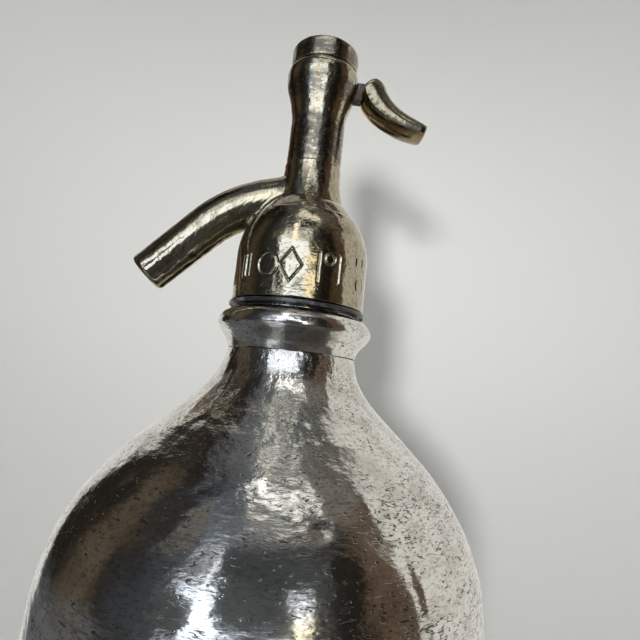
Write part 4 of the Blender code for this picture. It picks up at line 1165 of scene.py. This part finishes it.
@dataclass
class ThumbLever:
    """The lever: a curved thumb piece outside and a flat blade with a round tip inside."""

    pin_offset: float = 8.5 * MM
    reach: float = 25.7 * MM
    drop: float = 12.2 * MM
    width: float = 8.6 * MM
    rings: int = 110
    fullness: float = 2.4       # the power of a section's superellipse
    belly: float = 0.25         # the depth under the ridges, as a share of the height over them
    heel: Pair = (0.22, 0.35)   # the share of the length over which the width grows, and from what share
    tip: Pair = (0.06, 0.12)    # the share over which it narrows again, and by what share
    blade: float = 3.5 * MM
    blade_edge: float = 0.15 * MM
    blade_reach: float = 6.2 * MM
    blade_neck: float = 1.0 * MM
    eye_radius: float = 2.95 * MM
    blade_tip: float = 2.2 * MM
    # The thumb piece's lower and upper lines from heel to tip, as shares of its reach and drop
    under: tuple = (
        (0.215, 0.250), (0.188, 0.160), (0.182, 0.040), (0.196, -0.100), (0.226, -0.230), (0.270, -0.360),
        (0.325, -0.485), (0.395, -0.600), (0.490, -0.725), (0.600, -0.835), (0.730, -0.930),
        (0.850, -0.978), (0.945, -0.995),
    )
    over: tuple = (
        (0.255, 0.335), (0.300, 0.415), (0.345, 0.440), (0.400, 0.375), (0.440, 0.270), (0.470, 0.130),
        (0.508, 0.000), (0.560, -0.140), (0.645, -0.295), (0.735, -0.415), (0.840, -0.520),
        (0.930, -0.610), (0.995, -0.690),
    )

    def side(self, shares: tuple) -> Array:
        """One line of the side outline as smooth points, as many as there are rings."""
        line = smooth_curve(np.array(shares) * np.array([self.reach, self.drop]), 24)
        ask = np.linspace(0, len(line) - 1, self.rings)
        return np.stack([np.interp(ask, np.arange(len(line)), line[:, k]) for k in (0, 1)], axis=1)

    @staticmethod
    def drawn_in(section: Array, share: float, x: float, z: float) -> Array:
        """A (1, n, 3) section drawn in to a share of its size and moved along X and Z in millimetres."""
        middle = section.mean(axis=1, keepdims=True)
        return middle + (section - middle) * share + np.array([x, 0.0, z]) * MM

    def build_thumb(self) -> Piece:
        """Lofts the thumb piece through sections that stand across it.

        A section is a loaf: over its ridges the superellipse |w|^2.4 + h^2.4 = 1, where w is the share
        of the half width and h that of the height, and under them a belly a quarter as deep, the
        parabola 1 - w^2.  The width grows at the heel as a quarter of an ellipse does.
        """
        under, over = self.side(self.under), self.side(self.over)
        turn = np.linspace(0.0, FULL_TURN / 4, 19)[1:]
        h_half = np.r_[0.0, np.sin(turn) ** (2 / self.fullness)]
        w_half = np.r_[1.0, np.cos(turn) ** (2 / self.fullness)]
        below = np.linspace(-1.0, 1.0, 15)[1:-1]
        h = np.r_[h_half, h_half[::-1][1:], -self.belly * (1 - below ** 2)]
        w = np.r_[w_half, -w_half[::-1][1:], below]
        share = np.linspace(0.0, 1.0, self.rings)[:, None]
        grown = np.sqrt(1 - np.clip(1 - share / self.heel[0], 0.0, 1.0) ** 2)
        narrowed = np.clip((share - (1 - self.tip[0])) / self.tip[0], 0, 1)
        half = self.width / 2 * (self.heel[1] + (1 - self.heel[1]) * grown) * (1 - self.tip[1] * narrowed ** 2)
        x, z = (under[:, [k]] + (over - under)[:, [k]] * h for k in (0, 1))
        points = np.stack([x + self.pin_offset, half * w, z + PIN_HEIGHT], axis=2)
        points = np.concatenate([
            self.drawn_in(points[:1], 0.0, -0.35, 0.25), self.drawn_in(points[:1], 0.7, -0.25, 0.18), points,
            self.drawn_in(points[-1:], 0.72, 0.30, -0.10), self.drawn_in(points[-1:], 0.0, 0.45, -0.12),
        ])
        across = np.linspace(0.0, 1.0, points.shape[1] + 1) * (2 * self.width)
        along = np.linspace(0.0, self.reach, points.shape[0])
        return mesh_from_grid("thumb_piece", points, across, along)

    def build_blade(self) -> Piece:
        """A plate of the blade's outline: a round tip, a thin neck, an eye and an arm."""
        eye, reach = self.eye_radius, self.blade_reach
        eye_angle = math.degrees(math.asin(self.blade_neck / eye))
        tip_angle = math.degrees(math.asin(self.blade_neck / self.blade_tip))
        x, z = np.vstack([
            arc((-self.pin_offset, 0.0), self.blade_tip, tip_angle, 360 - tip_angle, 24),
            arc((0.0, 0.0), eye, 180 + eye_angle, 270, 8), [[reach, -eye], [reach, eye]],
            arc((0.0, 0.0), eye, 90, 180 - eye_angle, 8),
        ]).T
        face, rim = self.blade / 2, self.blade / 2 - self.blade_edge
        y = np.array([-face, -face, -rim, rim, face, face])[:, None]
        inner = 1 - self.blade_edge / eye
        size = np.array([0.0, inner, 1.0, 1.0, inner, 0.0])[:, None]
        points = np.stack([size * x + self.pin_offset, y + 0 * x, size * z + PIN_HEIGHT], axis=2)
        across = np.linspace(0.0, 1.0, points.shape[1] + 1) * (4 * reach)
        return mesh_from_grid("lever_blade", points, across, np.linspace(0.0, self.blade, len(points)))


@dataclass
class ValveSpring:
    """The closing spring round the stem, with closed ends that lie flat."""

    radius: float = 3.9 * MM
    wire: float = 1.0 * MM
    turns: float = 6.0
    rings: int = 216
    columns: int = 14
    closed: float = 0.06        # the share of its turns that lie flat at each end
    rest_length: float = 11.1 * MM
    travel: float = 2.3 * MM

    def build(self) -> Piece:
        """Sweeps the wire up the helix.

        Between its closed ends its height is three quarters of the share of its turns and a quarter of
        the smooth step of that share, so that most of the rise is in the middle turns.
        """
        low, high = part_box("valve_spring")
        share = np.linspace(0.0, 1.0, self.rings)
        free = np.clip((share - self.closed) / (1 - 2 * self.closed), 0.0, 1.0)
        rise = 0.75 * free + 0.25 * smooth_step(free)
        height = low.z + self.wire / 2 + (high.z - low.z - self.wire) * rise
        turn = FULL_TURN * self.turns * share
        around = FULL_TURN * np.arange(self.columns) / self.columns
        size = np.full(self.rings, self.wire / 2)
        size[[0, -1]] = 0.0
        out = self.radius + size[:, None] * np.cos(around)
        points = about_axis(out, turn[:, None], height[:, None] - size[:, None] * np.sin(around))
        across = np.linspace(0.0, FULL_TURN / 2 * self.wire, self.columns + 1)
        return mesh_from_grid("spring_wire", points, across, turn * self.radius)


# The room

@dataclass(frozen=True)
class Glow:
    """A soft-edged area of the room, as the metal sees it.

    It reaches over a range of bearings and heights in degrees.  A bearing of 180 is towards the sheet.
    Where the area leans, its bearings are those of height 0, and lean is what they gain for each degree up.
    Where it tilts, its heights are those of bearing 0, and tilt is what they gain for each degree right.
    """

    bearing: Pair
    height: Pair
    colour: Triple
    soft: float = 4.0
    lean: float = 0.0
    tilt: float = 0.0

    def mask(self, nodes: Nodes, bearing: Socket, height: Socket) -> Socket:
        """How much of the glow a direction gets, 0 to 1: the product of four smooth steps."""
        across = nodes.total((height, -self.lean), (bearing, 1.0)) if self.lean else bearing
        up = nodes.total((bearing, -self.tilt), (height, 1.0)) if self.tilt else height
        return nodes.product(
            nodes.within(across, self.bearing, self.soft), nodes.within(up, self.height, self.soft),
        )


ROOM = (
    Glow((-70, 30), (-20, 62), (0.056, 0.064, 0.076), 16),        # grey-blue air of the room
    Glow((54, 79), (-60, 62), (0.130, 0.092, 0.066), 4),          # brown wall beside the sheet
    Glow((28, 92), (52, 82), (0.200, 0.190, 0.175), 6),           # its paler top
    Glow((-106, -82), (-30, 48), (0.105, 0.085, 0.064), 9),       # brown furniture on the left
    Glow((-150, 150), (-95, -14), (0.130, 0.138, 0.150), 8),      # dark cloth low in front
    Glow((-48, -24), (-66, -18), (0.80, 0.86, 0.95), 6),          # a bright window low on the left
    Glow((-6, 72), (-66, -24), (0.110, 0.092, 0.080), 10),        # warm cloth low on the right
    Glow((-44, 22), (-6, 26), (2.25, 2.55, 3.10), 2.6),           # the big lit panel
    Glow((-42, 24), (26, 47), (1.35, 1.45, 1.60), 3.2),           # its paler upper part
    Glow((8, 24), (-3, 15), (2.30, 2.10, 1.55), 2.5),             # a warm lamp at its right edge
    Glow((-62, -18), (42, 62), (0.13, 0.15, 0.19), 8),            # blue daylight over the panel
    Glow((-42, 38), (61, 73), (1.50, 1.52, 1.50), 2.5, tilt=-0.12),   # a lamp higher up
    Glow((-130, -36), (64, 82), (0.120, 0.130, 0.145), 5),        # the ceiling's far end
    Glow((-200, 200), (76, 96), (0.150, 0.172, 0.195), 3),        # the ceiling
    Glow((-200, 200), (81.6, 84.2), (1.05, 1.02, 0.93), 1.0),     # a pale rim round its middle
    Glow((79, 205), (-90, 44), (0.79, 0.78, 0.755), 1.8),         # the sheet on the right
    Glow((29, 160), (36, 72), (0.77, 0.76, 0.735), 3.0, lean=1.25),     # its far part, which leans away
    Glow((-205, -135), (-90, 40), (0.76, 0.755, 0.735), 2.5),     # the sheet on the left
    Glow((-205, -130), (24, 50), (0.72, 0.71, 0.69), 2.0),        # a fold that stands up from it
    Glow((-320, -146), (30, 78), (0.52, 0.51, 0.49), 3.0, lean=0.35),   # its far part
)


@dataclass(frozen=True)
class Card:
    """A dull upright card that only the metal sees, lit from within where it stands for a lamp.

    Metal that is nearer to it than its clearance doesn't mirror it.
    Its ends are (x, y) places and its span a range of heights, all in millimetres.
    """

    name: str
    start: tuple[float, float]
    end: tuple[float, float]
    span: tuple[float, float]
    colour: str
    glow: float = 0.0
    clearance: float = 0.0


CARDS = (
    Card("silhouette", (-44, -160), (34, -160), (165, 252), "#6f7479"),    # the dark shape behind the camera
    Card("sleeve", (-22, -75), (30, -75), (184, 205), "#6c7176"),          # and a strip under it
    Card("elbow", (-165, -160), (-80, -160), (150, 222), "#6f7479"),
    Card("arm_left", (-135, -160), (-80, -160), (243, 286), "#6a6f78"),    # left of the camera
    Card("arm_right", (28, -160), (96, -160), (276, 400), "#5a5c60"),
    Card("wall_left", (-250, -160), (-150, -160), (345, 430), "#8c887c"),  # beside the panel
    Card("neck_lamp", (-24, -66), (-14, -66), (262, 325), "#ffffff", 2.0),   # shows only on the neck
    Card("shade_left", (-97, 58), (-50, 92), (250, 345), "#33291f"),       # hides the sheet's far left end
    Card("shade_low", (-35, 60), (34, 60), (165, 224), "#3a3630", 0.0, 56),   # the dark gap under the spout
    Card("shade_high", (-25, 60), (18, 60), (236, 300), "#7c6a4c"),        # the gap behind the housing
)


@dataclass(frozen=True)
class Lamp:
    """A round soft lamp that the metal doesn't mirror, with its diameter, its power in watts and its aim."""

    name: str
    size: float
    power: float
    place: Triple
    aim: Triple


LAMPS = (
    Lamp("near_lamp", 0.025, 2.05, (-0.04, -0.25, 0.215), (0.05, 0.30, 0.38)),  # throws the head's shadow
    Lamp("far_lamp", 0.20, 0.95, (-0.05, -0.40, 0.62), (0.0, 0.58, 0.98)),      # lights the sheet above
    Lamp("rear_lamp", 0.50, 1.4, (0.0, 0.28, 0.95), (0.0, -0.58, 0.30)),        # and behind the camera
)


@dataclass
class Studio:
    """The camera, the sheet that runs all round, the lamps and the room."""

    dark: Triple = (0.020, 0.017, 0.014)    # where no glow reaches
    air: Triple = (0.06, 0.061, 0.063)
    sheet_colour: str = "#dcdcda"
    floor_radius: float = 0.32
    bend_radius: float = 0.26
    wall_top: float = 1.5
    lamp_spread: float = math.radians(130)
    place: Triple = (0.0, -141.8 * MM, 207.16 * MM)
    pitch: float = math.radians(7.488)
    yaw: float = math.radians(2.890)
    roll: float = math.radians(6.216)
    lens: float = 27.06
    sensor: float = 36.0

    def add_camera(self) -> None:
        """Puts the camera in its place, yawed to the right, pitched up and rolled."""
        camera = link("camera", bpy.data.cameras.new("camera"))
        bpy.context.scene.camera = camera
        camera.matrix_world = (
            Matrix.Translation(self.place) @ Matrix.Rotation(-self.yaw, 4, "Z")
            @ Matrix.Rotation(math.pi / 2 + self.pitch, 4, "X") @ Matrix.Rotation(self.roll, 4, "Z")
        )
        camera.data.sensor_width = self.sensor
        camera.data.lens = self.lens
        camera.data.clip_start = 1 * MM

    def add_sheet(self) -> None:
        """Makes the sheet: a floor that curves up into a round wall, out of the metal's sight."""
        bend = arc((self.floor_radius, self.bend_radius), self.bend_radius, -90, 0, 24)
        profile = np.vstack([[[0.0, 0.0]], bend, [[self.floor_radius + self.bend_radius, self.wall_top]]])
        profile[:, 1] -= 0.2 * MM
        sheet = turned("sheet", FULL_TURN * np.arange(128) / 128, profile)
        sheet.visible_glossy = sheet.visible_shadow = False
        dress(sheet, self.cloth("white_cotton_sheet", self.sheet_colour)[0])

    @staticmethod
    def cloth(name: str, colour: str, glow: float = 0.0) -> tuple[bpy.types.Material, Nodes, bpy.types.Node]:
        """Plain dull cloth, or a lamp's shade where glow is over 0, with its nodes and its shader."""
        return plain_material(name, {
            "Base Color": linear(colour), "Roughness": 1.0, "Specular IOR Level": 0.0,
            "Emission Color": linear(colour), "Emission Strength": glow,
        })

    def add_card(self, card: Card) -> None:
        """Stands one card up."""
        (x0, y0), (x1, y1), (low, high) = card.start, card.end, card.span
        corners = np.array([(x0, y0, low), (x1, y1, low), (x1, y1, high), (x0, y0, high)]) * MM
        made = mesh_object(card.name, corners, [[0, 1, 2, 3]])
        cloth, nodes, shader = self.cloth(card.name + "_cloth", card.colour, card.glow)
        if card.clearance:
            ray = nodes.add("LightPath").outputs["Ray Length"]
            near = nodes.add("Math", {0: ray, 1: card.clearance * MM}, operation="LESS_THAN").outputs[0]
            clear = nodes.add("BsdfTransparent").outputs[0]
            mixed = nodes.add("MixShader", {0: near, 1: shader.outputs[0], 2: clear}).outputs[0]
            nodes.tree.links.new(mixed, nodes.tree.nodes["Material Output"].inputs[0])
        dress(made, cloth)
        made.visible_camera = made.visible_diffuse = made.visible_shadow = False

    def add_lamp(self, lamp: Lamp) -> None:
        """Hangs one lamp up."""
        light = bpy.data.lights.new(lamp.name, "AREA")
        light.shape = "DISK"
        light.size, light.energy, light.spread = lamp.size, lamp.power, self.lamp_spread
        made = link(lamp.name, light)
        made.location = lamp.place
        made.rotation_euler = (Vector(lamp.aim) - made.location).to_track_quat("-Z", "Y").to_euler()
        made.visible_glossy = made.visible_camera = False

    def paint_room(self) -> None:
        """Shows the room to glossy rays and an even pale air to all others.

        A ray's bearing is atan2(x, -y) and its height asin(z), in degrees.  The glows are laid over the
        dark in their order.
        """
        world = bpy.data.worlds.new("room")
        bpy.context.scene.world = world
        world.use_nodes = True
        world.node_tree.nodes.clear()
        nodes = Nodes(world.node_tree)
        x, y, z = nodes.add("SeparateXYZ", {0: nodes.add("TexCoord").outputs["Generated"]}).outputs
        bearing = nodes.add("Math", {0: x, 1: nodes.product(y, -1.0)}, operation="ARCTAN2").outputs[0]
        height = nodes.add("Math", {0: z}, operation="ARCSINE").outputs[0]
        bearing, height = (
            nodes.add("Math", {0: angle}, operation="DEGREES").outputs[0] for angle in (bearing, height)
        )
        colour = (*self.dark, 1.0)
        for glow in ROOM:
            colour = nodes.coats(colour, (glow.mask(nodes, bearing, height), 1.0, (*glow.colour, 1.0)))
        glossy = nodes.add("LightPath").outputs["Is Glossy Ray"]
        colour = nodes.coats((*self.air, 1.0), (glossy, 1.0, colour))
        shade = nodes.add("Background", {"Color": colour, "Strength": 1.0}).outputs[0]
        nodes.add("OutputWorld", {"Surface": shade})
        LOG.info("room: %d glows, %d nodes", len(ROOM), len(nodes.tree.nodes))

    def build(self) -> None:
        """Sets up the whole studio."""
        bpy.context.scene.view_settings.view_transform = "Standard"
        self.add_camera()
        self.add_sheet()
        for card in CARDS:
            self.add_card(card)
        for lamp in LAMPS:
            self.add_lamp(lamp)
        self.paint_room()


def dress_frame(frame: dict, materials: dict[Slot, bpy.types.Material]) -> None:
    """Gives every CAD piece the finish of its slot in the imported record."""
    slots = {entry["node"]: Slot(entry["material_slot"]) for entry in frame["record"]["subparts"]}
    for name, node in frame["nodes"].items():
        dress(node, materials[slots[name]])


def main() -> None:
    """Builds the pieces in order, dresses them and lights them."""
    logging.basicConfig(level=logging.INFO, format="%(name)s: %(message)s")
    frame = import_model()
    materials = {finish.slot: finish.material() for finish in FINISHES}
    # the blade's darker nickel is painted shade
    worked = {"thumb_piece": THUMB_FINISH.material(), "lever_blade": SHADED_ARM_FINISH.material()}
    dress_frame(frame, materials)
    collar, head, housing, lever, spring = NeckCollar(), Head(), LeverHousing(), ThumbLever(), ValveSpring()
    coil = spring.build()
    for piece, node, body, slot in (
        (Bottle().build(), "bottle_body", Body.SIPHON, Slot.ALUMINIUM),
        (collar.build_collar(), "neck_collar", Body.SIPHON, Slot.ALUMINIUM),
        (collar.build_gasket(), "skirt_gasket", Body.SIPHON, Slot.RUBBER),
        (head.build(), "head_body", Body.SIPHON, Slot.NICKEL),
        (Spout().build(head), "spout", Body.SIPHON, Slot.NICKEL),
        (housing.build(), "lever_housing", Body.SIPHON, Slot.NICKEL),
        (housing.build_cap(), "top_cap", Body.SIPHON, Slot.NICKEL),
        (lever.build_thumb(), "lever", Body.LEVER, Slot.NICKEL),
        (lever.build_blade(), "lever", Body.LEVER, Slot.NICKEL),
        (coil, "valve_spring", Body.SIPHON, Slot.STEEL),
    ):
        dress(piece, worked.get(piece.name, materials[slot]))
        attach(piece, body.value)
        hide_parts(node)
        LOG.info("%s: %d faces", piece.name, len(piece.data.polygons))
    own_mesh(coil)
    Studio().build()


if __name__ == "__main__":
    main()
